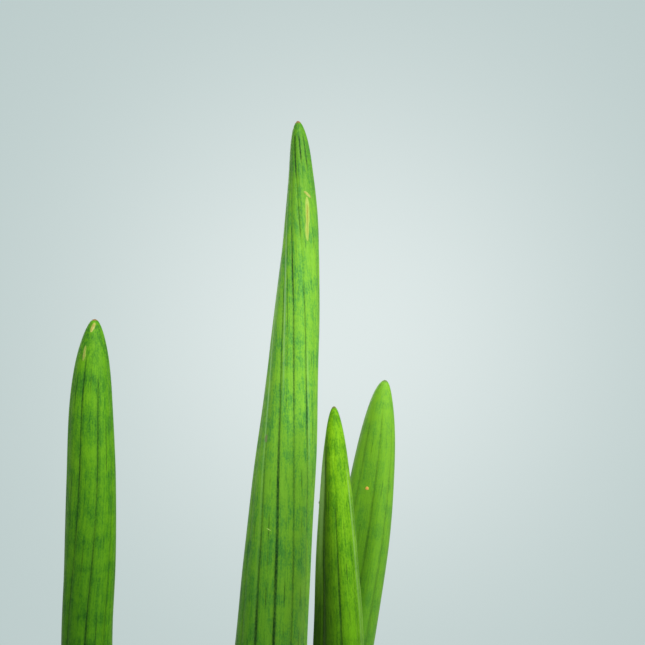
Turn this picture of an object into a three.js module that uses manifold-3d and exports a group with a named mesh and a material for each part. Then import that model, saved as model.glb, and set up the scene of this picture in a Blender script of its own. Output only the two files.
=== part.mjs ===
/**
 * Potted cylindrical snake plant. Four spear leaves stand on one creeping rhizome, with scale
 * leaves sheathing their bases and roots below, in potting mix, in a plain tapered clay pot.
 *
 * Millimetres, +Z up. The origin is the centre of the pot's foot, and -Y is the front.
 */
import * as THREE from "three";
import { mergeVertices } from "three/addons/utils/BufferGeometryUtils.js";
import Module from "manifold-3d";

const wasm = await Module();
wasm.setup();

// ---------------------------------------------------------------- driving dimensions

const GAP = 0.3; // clearance between pieces that touch

const POT = {
  height: 130,
  footRadius: 52,
  footRingWidth: 9,
  footRecess: 2.5,
  floorTop: 10,
  drainRadius: 7,
  innerFloorRadius: 46,
  innerRimRadius: 68,
  collarBottom: 104,
  bodyTopRadius: 70,
  collarRadius: 75,
  segments: 48,
};

const MIX = { edgeHeight: 113, crownHeight: 116, crownRadius: 30 };

const CROCK = { innerRadius: 29, thickness: 5, halfAngle: 32, width: 34 };

const RHIZOME = {
  radius: 6.8,
  swelling: 2.6, // extra radius where a shoot rises
  swellingLength: 9,
  sides: 12,
  steps: 20,
  path: [
    [-53, -7, 79],
    [-42, -4, 80.5],
    [-17, 3, 78.5],
    [11, 8, 80],
    [26, 0, 79],
    [38, -19, 80.5],
    [44, -30, 79],
  ],
};

/**
 * Each leaf: its centreline from base to tip, the way its channelled upper face looks in plan at
 * the tip (degrees from +X), its twist from there (degrees a millimetre), and its outline. The
 * width grows from the tip as tipCurve * sqrt(distance), and bends over to fullWidth: a higher
 * shoulder makes that bend sharper. A nose above 0 makes the tip blunter, over the nose's length,
 * and one below 0 makes it finer.
 */
const LEAVES = [
  {
    name: "leaf_left",
    path: [
      [-42, -4, 88],
      [-43.5, -4.5, 114],
      [-45.8, -5.8, 175],
      [-46.3, -7, 236.7],
      [-45, -9, 266],
      [-44.3, -11, 294],
      [-44.35, -12, 321.4],
      [-43.2, -12, 349.1],
    ],
    faces: 107,
    twist: -0.35,
    tipCurve: 3.22,
    fullWidth: 18.8,
    shoulder: 1.6,
    nose: -0.12,
    noseLength: 9,
    channel: { depth: 0.75, halfWidth: 0.5 },
  },
  {
    name: "leaf_tall",
    path: [
      [5.5, -1, 88],
      [7.3, -1, 114],
      [12, -1.5, 176],
      [16.9, -1, 235.7],
      [19.8, -2, 272.8],
      [23.5, -2, 314.7],
      [26.6, 0, 356.6],
      [27.8, 2, 381.9],
      [27.4, 5, 405.3],
      [26.5, 6, 418.8],
    ],
    faces: 72,
    twist: 0.31,
    tipCurve: 1.88,
    fullWidth: 32,
    shoulder: 6,
    nose: 0.17,
    noseLength: 18,
    channel: { depth: 0.75, halfWidth: 0.5 },
  },
  {
    name: "leaf_short",
    path: [
      [38, -19, 88],
      [38.5, -20, 114],
      [40.4, -23, 175],
      [40.9, -25, 240],
      [40.5, -24.5, 262],
      [40, -23, 283],
      [39.6, -22, 298],
      [39.1, -20, 319.6],
    ],
    faces: 212,
    twist: 0.08,
    tipCurve: 2.2,
    fullWidth: 20.7,
    shoulder: 3,
    nose: -0.1,
    noseLength: 9,
    channel: { depth: 0.3, halfWidth: 0.5 },
  },
  {
    name: "leaf_rear",
    path: [
      [14.5, 16.5, 88],
      [19, 19, 114],
      [31, 26, 172],
      [42.3, 31, 229.5],
      [49.3, 31, 264.4],
      [53, 30, 290.2],
      [54.8, 29, 304.2],
      [56.9, 27, 321.2],
      [58.1, 26, 327],
    ],
    faces: 250,
    twist: 0.05,
    tipCurve: 2.9,
    fullWidth: 24,
    shoulder: 1.6,
    nose: 0,
    noseLength: 18,
    channel: { depth: 0.62, halfWidth: 0.9 },
  },
];

const LEAF = {
  thicknessShare: 0.92, // of the width
  baseShare: 0.55, // of the full width, at the rhizome
  baseTaper: 48, // length over which the base narrows
  channelFade: 70, // length over which the channel runs out towards the tip
  sides: 24,
  steps: 24,
  bluntness: 0.25, // distance of the last ring from the tip
};

/** Scale leaves, each wrapped round the back of one leaf's base: turn is in degrees round it. */
const SCALES = [
  { name: "scale_left_outer", leaf: "leaf_left", turn: 8, from: 95, to: 141, halfSpread: 105, stand: 3 },
  { name: "scale_left_inner", leaf: "leaf_left", turn: -12, from: 93, to: 158, halfSpread: 92, stand: 1 },
  { name: "scale_tall", leaf: "leaf_tall", turn: 6, from: 93, to: 152, halfSpread: 80, stand: 1 },
  { name: "scale_rear", leaf: "leaf_rear", turn: -10, from: 95, to: 146, halfSpread: 80, stand: 1 },
  { name: "scale_short_outer", leaf: "leaf_short", turn: -8, from: 95, to: 138, halfSpread: 105, stand: 3 },
  { name: "scale_short_inner", leaf: "leaf_short", turn: 14, from: 93, to: 161, halfSpread: 92, stand: 1 },
];
const SCALE = { thickness: 1.3, across: 9, steps: 8, tipSpread: 7 };

/** Main roots: where each leaves the rhizome, which way it heads in plan, and how far it goes. */
const ROOTS = [
  { along: 0.04, heading: 325, reach: 18, drop: 50 },
  { along: 0.13, heading: 60, reach: 26, drop: 44 },
  { along: 0.2, heading: 285, reach: 28, drop: 57 },
  { along: 0.36, heading: 78, reach: 38, drop: 50 },
  { along: 0.46, heading: 250, reach: 34, drop: 40 },
  { along: 0.56, heading: 65, reach: 30, drop: 58 },
  { along: 0.66, heading: 20, reach: 26, drop: 46 },
  { along: 0.82, heading: 352, reach: 12, drop: 34 },
  { along: 0.94, heading: 165, reach: 17, drop: 56 },
];
const ROOT = { startRadius: 1.9, endRadius: 0.9, sides: 6, steps: 9 };

const COLOURS = {
  clay: 0xb9694a,
  leaf: 0x5f9e34,
  scale: 0x9c8a5c,
  rhizome: 0xc98b4e,
  root: 0xd9c7a0,
  mix: 0x3b2c22,
};

// ---------------------------------------------------------------- solids

/** A closed geometry as a manifold-3d solid. */
function solidOf(geometry) {
  const bare = geometry.index ? geometry.toNonIndexed() : geometry.clone();
  bare.deleteAttribute("normal");
  bare.deleteAttribute("uv");
  const merged = mergeVertices(bare, 1e-3);
  return new wasm.Manifold(
    new wasm.Mesh({
      numProp: 3,
      vertProperties: merged.attributes.position.array,
      triVerts: new Uint32Array(merged.index.array),
    }),
  );
}

/** A manifold-3d solid as a geometry. */
function geometryOf(solid) {
  const { numProp, numVert, vertProperties, triVerts } = solid.getMesh();
  const positions = new Float32Array(numVert * 3);
  for (let i = 0; i < numVert; i++) {
    positions.set(vertProperties.subarray(i * numProp, i * numProp + 3), i * 3);
  }
  const geometry = new THREE.BufferGeometry();
  geometry.setAttribute("position", new THREE.BufferAttribute(positions, 3));
  geometry.setIndex(new THREE.BufferAttribute(triVerts, 1));
  geometry.computeVertexNormals();
  return geometry;
}

/** The triangles that close a ring of points, as a fan round its first point. */
function fanCap(count) {
  const triangles = [];
  for (let j = 1; j < count - 1; j++) triangles.push([0, j, j + 1]);
  return triangles;
}

/** The triangles that close a ring whose two halves face each other, from one end to the other. */
function pairedCap(count) {
  const triangles = [];
  for (let j = 0; j < count / 2; j++) {
    const [across, after] = [(count - j) % count, count - j - 1];
    if (after !== j + 1) triangles.push([j, j + 1, after]);
    if (across !== j) triangles.push([j, after, across]);
  }
  return triangles;
}

/** The triangles that close a thin crescent, whose second half runs back beside its first. */
function crescentCap(count) {
  const triangles = [];
  for (let j = 0; j < count / 2 - 1; j++) {
    const k = count - 1 - j;
    triangles.push([j, j + 1, k - 1], [j, k - 1, k]);
  }
  return triangles;
}

/**
 * Skins rings of points into one closed body. Each ring turns anticlockwise when seen from the
 * far end of the run, and cap gives the triangles that close a ring.
 */
function loft(rings, cap) {
  const count = rings[0].length;
  const positions = rings.flat().flatMap((p) => [p.x, p.y, p.z]);
  const index = [];
  for (let i = 0; i < rings.length - 1; i++) {
    for (let j = 0; j < count; j++) {
      const k = (j + 1) % count;
      const [a, b, c, d] = [i * count + j, i * count + k, (i + 1) * count + k, (i + 1) * count + j];
      index.push(a, b, c, a, c, d);
    }
  }
  const last = (rings.length - 1) * count;
  for (const [a, b, c] of cap(count)) index.push(a, c, b, last + a, last + b, last + c);
  const geometry = new THREE.BufferGeometry();
  geometry.setAttribute("position", new THREE.Float32BufferAttribute(positions, 3));
  geometry.setIndex(index);
  return geometry;
}

/** A smooth curve through listed points. */
function curveThrough(points) {
  return new THREE.CatmullRomCurve3(points.map((p) => new THREE.Vector3(...p)));
}

/** How far an end ring moves along its run when the body is swollen by grow. */
function endShift(i, steps, grow) {
  if (i === 0) return -grow;
  return i === steps ? grow : 0;
}

/** A round tube along a curve, swollen by grow; its radius is given at each share of its length. */
function taperedTube(curve, radiusAt, sides, steps, grow) {
  const frames = curve.computeFrenetFrames(steps, false);
  const rings = [];
  for (let i = 0; i <= steps; i++) {
    const centre = curve.getPointAt(i / steps);
    centre.addScaledVector(frames.tangents[i], endShift(i, steps, grow));
    const ring = [];
    for (let j = 0; j < sides; j++) {
      const angle = (2 * Math.PI * j) / sides;
      const radius = radiusAt(i / steps) + grow;
      ring.push(
        centre
          .clone()
          .addScaledVector(frames.normals[i], radius * Math.cos(angle))
          .addScaledVector(frames.binormals[i], radius * Math.sin(angle)),
      );
    }
    rings.push(ring);
  }
  return loft(rings, fanCap);
}

/** 0 below low, 1 above high, and smooth between. */
function smoothShare(value, low, high) {
  return THREE.MathUtils.smoothstep(value, low, high);
}

// ---------------------------------------------------------------- leaves

/** The point of a leaf's section at one angle: across it, and towards its channelled face. */
function sectionPoint(leaf, fromTip, length, angle, grow) {
  const { tipCurve, fullWidth, shoulder, nose, noseLength, channel } = leaf;
  const bendAt = (fullWidth / tipCurve) ** 2;
  const blunt = 1 + nose * Math.exp(-((fromTip / noseLength) ** 2));
  const flattening = (1 + (fromTip / bendAt) ** shoulder) ** (0.5 / shoulder);
  const outline = (blunt * tipCurve * Math.sqrt(fromTip)) / flattening;
  const fromBase = length - fromTip;
  const narrowing = LEAF.baseShare + (1 - LEAF.baseShare) * smoothShare(fromBase, 0, LEAF.baseTaper);
  const bareHalf = (outline * narrowing) / 2;
  const halfWidth = bareHalf + grow;
  const halfThickness = bareHalf * LEAF.thicknessShare + grow;
  const across = Math.cos(angle);
  const lip = (channel.halfWidth * bareHalf - grow) / halfWidth;
  const dent = Math.sin(angle) > 0 && lip > 0 ? Math.max(0, 1 - (across / lip) ** 2) ** 2 : 0;
  const depth = channel.depth * bareHalf * smoothShare(fromTip, 4, LEAF.channelFade);
  return [halfWidth * across, halfThickness * Math.sin(angle) - depth * dent];
}

/** The directions across a leaf and out of its channelled face, at one place on its centreline. */
function leafFrame(curve, leaf, share) {
  const along = curve.getTangentAt(share);
  const fromTip = curve.getLength() * (1 - share);
  const turn = THREE.MathUtils.degToRad(leaf.faces + leaf.twist * fromTip);
  const facing = new THREE.Vector3(Math.cos(turn), Math.sin(turn), 0);
  facing.addScaledVector(along, -facing.dot(along)).normalize();
  const sideways = facing.clone().cross(along);
  return { centre: curve.getPointAt(share), along, sideways, facing };
}

/** A section's point in the plant's frame. */
function placed(frame, [across, out]) {
  return frame.centre.clone().addScaledVector(frame.sideways, across).addScaledVector(frame.facing, out);
}

/** One spear leaf as a closed body, swollen all over by grow. */
function leafGeometry(leaf, grow = 0) {
  const curve = curveThrough(leaf.path);
  const length = curve.getLength();
  const rings = [];
  for (let i = 0; i <= LEAF.steps; i++) {
    const left = 1 - i / LEAF.steps;
    const fromTip = Math.max(LEAF.bluntness, length * left ** 2 * (2 - left)); // crowds at the tip
    const frame = leafFrame(curve, leaf, 1 - fromTip / length);
    frame.centre.addScaledVector(frame.along, endShift(i, LEAF.steps, grow));
    const ring = [];
    for (let j = 0; j < LEAF.sides; j++) {
      const angle = (2 * Math.PI * j) / LEAF.sides;
      ring.push(placed(frame, sectionPoint(leaf, fromTip, length, angle, grow)));
    }
    rings.push(ring);
  }
  return loft(rings, pairedCap);
}

/** The share of a rising curve's length at which it reaches a height. */
function shareAtHeight(curve, height) {
  let [low, high] = [0, 1];
  for (let i = 0; i < 30; i++) {
    const middle = (low + high) / 2;
    if (curve.getPointAt(middle).z < height) low = middle;
    else high = middle;
  }
  return low;
}

/** One scale leaf: a thin pointed shell that stands off the back of a leaf's base. */
function scaleGeometry(scale, grow = 0) {
  const leaf = LEAVES.find((each) => each.name === scale.leaf);
  const curve = curveThrough(leaf.path);
  const length = curve.getLength();
  const middle = -Math.PI / 2 + THREE.MathUtils.degToRad(scale.turn);
  const rings = [];
  for (let i = 0; i <= SCALE.steps; i++) {
    const rise = i / SCALE.steps;
    const height = THREE.MathUtils.lerp(scale.from - grow, scale.to + grow, rise);
    const share = shareAtHeight(curve, height);
    const frame = leafFrame(curve, leaf, share);
    const degrees = Math.max(SCALE.tipSpread, scale.halfSpread * (1 - rise ** 2.2) ** 0.8);
    const spread = THREE.MathUtils.degToRad(degrees + grow * 4);
    const edge = (out, j) => {
      const angle = middle + spread * ((2 * j) / (SCALE.across - 1) - 1);
      return placed(frame, sectionPoint(leaf, length * (1 - share), length, angle, out));
    };
    const outer = [];
    const inner = [];
    for (let j = 0; j < SCALE.across; j++) {
      outer.push(edge(scale.stand + SCALE.thickness + grow, j));
      inner.unshift(edge(scale.stand - grow, j));
    }
    rings.push([...outer, ...inner]);
  }
  return loft(rings, crescentCap);
}

// ---------------------------------------------------------------- rhizome and roots

const rhizomeCurve = curveThrough(RHIZOME.path);

/** The creeping stem, thicker under each shoot, swollen all over by grow. */
function rhizomeGeometry(grow = 0) {
  const shoots = LEAVES.map((leaf) => new THREE.Vector3(...leaf.path[0]));
  const radiusAt = (share) => {
    const here = rhizomeCurve.getPointAt(share);
    const nearest = Math.min(...shoots.map((shoot) => Math.hypot(shoot.x - here.x, shoot.y - here.y)));
    const swollen = RHIZOME.swelling * Math.exp(-((nearest / RHIZOME.swellingLength) ** 2));
    const end = smoothShare(Math.min(share, 1 - share), -0.03, 0.06);
    return (RHIZOME.radius + swollen) * end;
  };
  return taperedTube(rhizomeCurve, radiusAt, RHIZOME.sides, RHIZOME.steps, grow);
}

/** One root, from the rhizome's middle outwards and down. */
function rootGeometry(root, grow = 0) {
  const start = rhizomeCurve.getPointAt(root.along);
  const heading = THREE.MathUtils.degToRad(root.heading);
  const outwards = new THREE.Vector3(Math.cos(heading), Math.sin(heading), 0);
  const sideways = new THREE.Vector3(-outwards.y, outwards.x, 0);
  const stages = [
    [0, 0, 0],
    [0.45, 0.2, 0.5],
    [0.85, 0.55, -0.6],
    [1, 1, 1.5],
  ];
  const points = stages.map(([out, down, sway]) =>
    start
      .clone()
      .addScaledVector(outwards, root.reach * out)
      .addScaledVector(sideways, sway * 2)
      .add(new THREE.Vector3(0, 0, -root.drop * down)),
  );
  const radiusAt = (share) => THREE.MathUtils.lerp(ROOT.startRadius, ROOT.endRadius, share);
  return taperedTube(new THREE.CatmullRomCurve3(points), radiusAt, ROOT.sides, ROOT.steps, grow);
}

// ---------------------------------------------------------------- pot and potting mix

/** A closed radius-and-height outline turned round the Z axis. */
function turned(outline) {
  const points = outline.map(([radius, height]) => new THREE.Vector2(radius, height));
  return new THREE.LatheGeometry([...points, points[0]], POT.segments).rotateX(Math.PI / 2);
}

/** The radius of the pot's inside wall at a height. */
function innerRadius(height) {
  const rise = (height - POT.floorTop) / (POT.height - POT.floorTop);
  return THREE.MathUtils.lerp(POT.innerFloorRadius, POT.innerRimRadius, rise);
}

/** The pot: tapered wall, thick collar, foot ring and one drainage hole. */
function potGeometry() {
  const { height, footRadius, footRingWidth, footRecess, floorTop, drainRadius } = POT;
  const { collarBottom, bodyTopRadius, collarRadius } = POT;
  return turned([
    [drainRadius, footRecess],
    [footRadius - footRingWidth, footRecess],
    [footRadius - footRingWidth + 1.5, 0],
    [footRadius - 1, 0],
    [footRadius + 0.4, 1.4],
    [bodyTopRadius, collarBottom],
    [collarRadius - 1.8, collarBottom + 0.8],
    [collarRadius - 0.8, collarBottom + 2.4],
    [collarRadius, height - 3.5],
    [collarRadius - 1, height - 1],
    [collarRadius - 2.8, height],
    [POT.innerRimRadius + 1.2, height],
    [innerRadius(height - 2), height - 2],
    [innerRadius(floorTop + 4), floorTop + 4],
    [innerRadius(floorTop) - 3.5, floorTop],
    [drainRadius, floorTop],
  ]);
}

/** The outline of the crock and of what it shelters, across its arch. */
function archShape(outer, inner, halfAngle, centreHeight) {
  const shape = new THREE.Shape();
  const turn = THREE.MathUtils.degToRad(halfAngle);
  shape.absarc(0, centreHeight, outer, Math.PI / 2 - turn, Math.PI / 2 + turn, false);
  if (inner > 0) shape.absarc(0, centreHeight, inner, Math.PI / 2 + turn, Math.PI / 2 - turn, true);
  return shape;
}

/** An extrusion along Y of a shape drawn in X and Z, centred on the origin. */
function extrudedAcross(shape, width) {
  const geometry = new THREE.ExtrudeGeometry(shape, { depth: width, bevelEnabled: false, curveSegments: 5 });
  return geometry.translate(0, 0, -width / 2).rotateX(Math.PI / 2);
}

const crockCentre =
  POT.floorTop + GAP - CROCK.innerRadius * Math.cos(THREE.MathUtils.degToRad(CROCK.halfAngle));

/** The crock: an arched shard of clay that keeps the mix out of the drainage hole. */
function crockGeometry() {
  const { innerRadius: inner, thickness, halfAngle, width } = CROCK;
  return extrudedAcross(archShape(inner + thickness, inner, halfAngle, crockCentre), width);
}

/** The space that the crock takes up and shelters, with its clearance, down past the pot's floor. */
function crockHollow() {
  const { innerRadius: inner, thickness, halfAngle, width } = CROCK;
  const outer = inner + thickness + GAP;
  const half = outer * Math.sin(THREE.MathUtils.degToRad(halfAngle)) + GAP;
  const shape = archShape(outer, 0, halfAngle, crockCentre);
  shape.lineTo(-half, crockCentre + outer * Math.cos(THREE.MathUtils.degToRad(halfAngle)));
  shape.lineTo(-half, 0);
  shape.lineTo(half, 0);
  shape.lineTo(half, crockCentre + outer * Math.cos(THREE.MathUtils.degToRad(halfAngle)));
  return extrudedAcross(shape, width + 2 * GAP);
}

/** The potting mix, with a close hollow for every piece that is set in it. */
function mixSolid() {
  const bottom = POT.floorTop + GAP;
  const radiusAt = (height) => innerRadius(height) - GAP - 0.2;
  let mix = solidOf(
    turned([
      [0, bottom],
      [radiusAt(bottom) - 3.7, bottom],
      [radiusAt(bottom + 4), bottom + 4],
      [radiusAt(MIX.edgeHeight), MIX.edgeHeight],
      [MIX.crownRadius, MIX.crownHeight - 0.6],
      [0, MIX.crownHeight],
    ]),
  );
  const hollow = GAP + 0.1;
  const tools = [
    crockHollow(),
    rhizomeGeometry(hollow),
    ...LEAVES.map((leaf) => leafGeometry(leaf, hollow)),
    ...SCALES.map((scale) => scaleGeometry(scale, hollow)),
    ...ROOTS.map((root) => rootGeometry(root, hollow)),
  ];
  for (const tool of tools) mix = mix.subtract(solidOf(tool));
  return largestBody(mix);
}

/** The largest body of a solid: it drops the crumbs that a cut can leave. */
function largestBody(solid) {
  return solid.decompose().reduce((best, body) => (body.volume() > best.volume() ? body : best));
}

// ---------------------------------------------------------------- assembly

const plant = new THREE.Group();

/** Adds one named piece with its own material. */
function add(name, geometry, color, roughness) {
  const material = new THREE.MeshStandardMaterial({ color, roughness, metalness: 0 });
  const mesh = new THREE.Mesh(geometry, material);
  mesh.name = name;
  plant.add(mesh);
}

const rhizomeRoom = solidOf(rhizomeGeometry(GAP));

/** A geometry cut back so that it meets the rhizome with its clearance. */
function cutAtRhizome(geometry) {
  return geometryOf(largestBody(solidOf(geometry).subtract(rhizomeRoom)));
}

add("pot", potGeometry(), COLOURS.clay, 0.85);
add("drainage_crock", crockGeometry(), COLOURS.clay, 0.9);
add("potting_mix", geometryOf(mixSolid()), COLOURS.mix, 1);
add("rhizome", rhizomeGeometry(), COLOURS.rhizome, 0.6);
for (const leaf of LEAVES) add(leaf.name, cutAtRhizome(leafGeometry(leaf)), COLOURS.leaf, 0.4);
for (const scale of SCALES) add(scale.name, cutAtRhizome(scaleGeometry(scale)), COLOURS.scale, 0.7);
ROOTS.forEach((root, i) => {
  add(`root_${i + 1}`, cutAtRhizome(rootGeometry(root)), COLOURS.root, 0.8);
});

export default plant;
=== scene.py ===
"""A potted cylindrical snake plant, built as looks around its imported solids.

Four spear leaves rise from one creeping rhizome, with dry scale leaves sheathing their bases, in
a gritty potting mix, in a plain clay pot. Shapes are worked out in millimetres in the plant's own
frame (+Z up, -Y the front), and every mesh is made in metres.
"""

import logging
import math
import random
from collections.abc import Callable, Iterable, Sequence
from dataclasses import dataclass, field
from enum import Enum

import bmesh
import bpy
import numpy as np
from mathutils import Euler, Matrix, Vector, noise


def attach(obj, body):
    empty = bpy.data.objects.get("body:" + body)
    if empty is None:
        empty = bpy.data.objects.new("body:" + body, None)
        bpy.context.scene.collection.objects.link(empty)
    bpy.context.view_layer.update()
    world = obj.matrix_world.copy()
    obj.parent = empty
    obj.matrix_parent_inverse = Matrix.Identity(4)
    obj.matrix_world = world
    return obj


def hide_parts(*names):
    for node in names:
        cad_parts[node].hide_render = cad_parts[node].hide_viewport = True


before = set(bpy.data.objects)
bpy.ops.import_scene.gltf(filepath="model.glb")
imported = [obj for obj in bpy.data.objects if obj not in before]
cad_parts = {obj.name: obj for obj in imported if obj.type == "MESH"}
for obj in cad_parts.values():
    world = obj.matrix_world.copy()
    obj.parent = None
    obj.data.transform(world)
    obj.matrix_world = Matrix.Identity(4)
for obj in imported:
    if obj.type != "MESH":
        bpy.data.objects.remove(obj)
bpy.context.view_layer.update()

LOG = logging.getLogger("snake_plant")

MM = 0.001
BODY = "root"
ASLANT = (0.21, 0.13, 0.97)  # a direction that no tube follows

Colour = tuple[float, float, float, float]
Socket = bpy.types.NodeSocket


# ------------------------------------------------------------------------------ small helpers


def paint(red: int, green: int, blue: int) -> Colour:
    """Turns a colour as a screen shows it into the linear colour that a shader takes.

    Args:
        red: Red, 0 to 255.
        green: Green, 0 to 255.
        blue: Blue, 0 to 255.

    Returns:
        The linear colour, with full alpha.
    """

    def linear(part: int) -> float:
        """One channel, decoded."""
        share = part / 255
        return share / 12.92 if share <= 0.04045 else ((share + 0.055) / 1.055) ** 2.4

    return linear(red), linear(green), linear(blue), 1.0


def smooth_share(value: np.ndarray | float, low: float, high: float) -> np.ndarray:
    """Eases from 0 at one value to 1 at another.

    Args:
        value: The values to ease.
        low: Where the share is 0.
        high: Where the share is 1.

    Returns:
        The share at each value.
    """
    share = np.clip((np.asarray(value, float) - low) / (high - low), 0.0, 1.0)
    return share * share * (3 - 2 * share)


def unit(vectors: np.ndarray) -> np.ndarray:
    """Scales vectors, held along the last axis, to length 1."""
    return vectors / np.linalg.norm(vectors, axis=-1, keepdims=True)


@dataclass(frozen=True)
class Ripple:
    """A smooth wandering value between about -1 and 1, made of a few sine waves."""

    seed: int
    wavelength: float
    waves: int = 5

    STRETCH = (0.6, 1.9)  # how the waves' lengths differ
    GAIN = 1.6  # brings the sum of the waves to about 1

    def __call__(self, *coordinates: np.ndarray | float) -> np.ndarray:
        """Reads the value at a place.

        Args:
            coordinates: The place, one array or number for each direction.

        Returns:
            The value at each place.
        """
        draw = random.Random(self.seed)
        total: np.ndarray | float = 0.0
        for _ in range(self.waves):
            stretch = draw.uniform(*self.STRETCH) * 2 * math.pi / self.wavelength
            lean = unit(np.array([draw.gauss(0, 1) for _ in coordinates]))
            phase = draw.uniform(0, 2 * math.pi)
            run = sum(share * where for share, where in zip(lean, coordinates))
            total = total + np.sin(stretch * run + phase)
        return total / self.waves * self.GAIN


class Spine:
    """A smooth line through listed points, read by the distance along it."""

    FINE = 160  # samples between two points
    LOOK = 1.2  # how far each way the line's heading is read over

    def __init__(self, points: Sequence[Sequence[float]]) -> None:
        """Fits the line.

        Args:
            points: The points that it passes through.
        """
        given = np.array(points, float)
        ends = 2 * given[0] - given[1], 2 * given[-1] - given[-2]
        knots = np.vstack([ends[0], given, ends[1]])
        runs = [self._stretch(knots[i : i + 4]) for i in range(len(knots) - 3)]
        self.places = np.vstack([run[:-1] for run in runs] + [given[-1:]])
        steps = np.linalg.norm(np.diff(self.places, axis=0), axis=1)
        self.distances = np.concatenate([[0.0], np.cumsum(steps)])
        self.length = float(self.distances[-1])

    def _stretch(self, knots: np.ndarray) -> np.ndarray:
        """Samples the line between the middle two of four knots.

        Args:
            knots: Four neighbouring knots.

        Returns:
            The sampled points, both ends among them.
        """
        gaps = np.sqrt(np.linalg.norm(np.diff(knots, axis=0), axis=1))
        before, start, end, after = knots
        leave = (start - before) / gaps[0] - (end - before) / (gaps[0] + gaps[1])
        leave = (leave + (end - start) / gaps[1]) * gaps[1]
        arrive = (end - start) / gaps[1] - (after - start) / (gaps[1] + gaps[2])
        arrive = (arrive + (after - end) / gaps[2]) * gaps[1]
        t = np.linspace(0, 1, self.FINE + 1)[:, None]
        square = (-3 * start + 3 * end - 2 * leave - arrive) * t**2
        cube = (2 * start - 2 * end + leave + arrive) * t**3
        return start + leave * t + square + cube

    def at(self, distance: np.ndarray | float) -> np.ndarray:
        """The points at some distances along the line."""
        where = np.clip(np.asarray(distance, float), 0, self.length)
        return np.stack(
            [np.interp(where, self.distances, self.places[:, axis]) for axis in range(3)], -1
        )

    def heading(self, distance: np.ndarray | float) -> np.ndarray:
        """The unit directions of the line at some distances along it."""
        where = np.asarray(distance, float)
        ahead = self.at(np.minimum(where + self.LOOK, self.length))
        return unit(ahead - self.at(np.maximum(where - self.LOOK, 0)))

    def distance_at_height(self, height: np.ndarray | float) -> np.ndarray:
        """The distances at which a rising line reaches some heights."""
        return np.interp(height, self.places[:, 2], self.distances)


@dataclass
class Form:
    """A mesh in the making: points in millimetres, faces, and values at the points."""

    points: np.ndarray
    faces: list[tuple[int, ...]]
    values: dict[str, np.ndarray] = field(default_factory=dict)

    @staticmethod
    def merged(forms: Iterable["Form"]) -> "Form":
        """Joins forms that carry the same values into one.

        Args:
            forms: The forms.

        Returns:
            The one form.
        """
        parts = list(forms)
        faces: list[tuple[int, ...]] = []
        start = 0
        for part in parts:
            faces.extend(tuple(corner + start for corner in face) for face in part.faces)
            start += len(part.points)
        values = {
            name: np.concatenate([part.values[name] for part in parts]) for name in parts[0].values
        }
        return Form(np.vstack([part.points for part in parts]), faces, values)

    def piece(self, name: str, material: bpy.types.Material) -> bpy.types.Object:
        """Makes the Blender object.

        Args:
            name: The piece's name.
            material: Its material.

        Returns:
            The object, smooth shaded, in metres.
        """
        mesh = bpy.data.meshes.new(name)
        mesh.from_pydata((self.points * MM).tolist(), [], self.faces)
        for label, values in self.values.items():
            flat = values.ndim == 1
            layer = mesh.attributes.new(label, "FLOAT" if flat else "FLOAT_VECTOR", "POINT")
            layer.data.foreach_set("value" if flat else "vector", values.astype(np.float32).ravel())
        mesh.shade_smooth()
        mesh.materials.append(material)
        mesh.update()
        made = bpy.data.objects.new(name, mesh)
        bpy.context.scene.collection.objects.link(made)
        return made


def grid_faces(rows: int, columns: int, ring_rows: bool = False) -> list[tuple[int, ...]]:
    """The quads of a grid of points whose columns run round a closed ring.

    Args:
        rows: How many rings there are.
        columns: How many points each ring has.
        ring_rows: True if the last ring joins the first.

    Returns:
        The quads, facing out where each ring turns anticlockwise seen from the rows' far end.
    """
    row, column = np.meshgrid(np.arange(rows if ring_rows else rows - 1), np.arange(columns), indexing="ij")
    after = (column + 1) % columns
    above = (row + 1) % rows
    here, next_up = row * columns, above * columns
    corners = [here + column, here + after, next_up + after, next_up + column]
    return [tuple(face) for face in np.stack(corners, -1).reshape(-1, 4).tolist()]


def skinned(rings: np.ndarray, values: dict[str, np.ndarray] | None = None) -> Form:
    """Skins rings into a closed form, with a point in the middle of each end.

    Args:
        rings: Points, as rings by points by three coordinates.
        values: Values at those points, as rings by points, or by points by three.

    Returns:
        The form.
    """
    rows, columns = rings.shape[:2]
    faces = grid_faces(rows, columns)
    first, last = rows * columns, rows * columns + 1
    top = (rows - 1) * columns
    for j in range(columns):
        after = (j + 1) % columns
        faces.append((first, after, j))
        faces.append((last, top + j, top + after))

    def with_ends(grid: np.ndarray) -> np.ndarray:
        """Adds the mean of the first ring and of the last."""
        flat = grid.reshape(rows * columns, -1)
        ended = np.vstack([flat, grid[0].reshape(columns, -1).mean(0), grid[-1].reshape(columns, -1).mean(0)])
        return ended if grid.ndim == 3 else ended[:, 0]

    return Form(with_ends(rings), faces, {name: with_ends(grid) for name, grid in (values or {}).items()})


def tube(spine: Spine, radii: Callable[[np.ndarray], np.ndarray], sides: int, rows: int) -> Form:
    """A round tube along a line.

    Args:
        spine: The line.
        radii: Gives the radius at each share of its length, or at each share and angle.
        sides: How many points go round it.
        rows: How many rings there are.

    Returns:
        The closed form, with "run", the distance from its start, and "round", the share of a turn.
    """
    share = np.linspace(0, 1, rows)
    along = spine.heading(share * spine.length)
    side = unit(np.cross(along, ASLANT))
    other = np.cross(along, side)
    angle = np.linspace(0, 2 * np.pi, sides, endpoint=False)
    radius = np.broadcast_to(np.asarray(radii(share[:, None] + 0 * angle)), (rows, sides))
    spread = radius[..., None] * (
        np.cos(angle)[None, :, None] * side[:, None] + np.sin(angle)[None, :, None] * other[:, None]
    )
    rings = spine.at(share * spine.length)[:, None] + spread
    run = np.repeat((share * spine.length)[:, None], sides, 1)
    return skinned(rings, {"run": run, "round": np.repeat(np.sin(angle)[None] * 0.5 + 0.5, rows, 0)})


# ------------------------------------------------------------------------------ node trees


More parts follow.
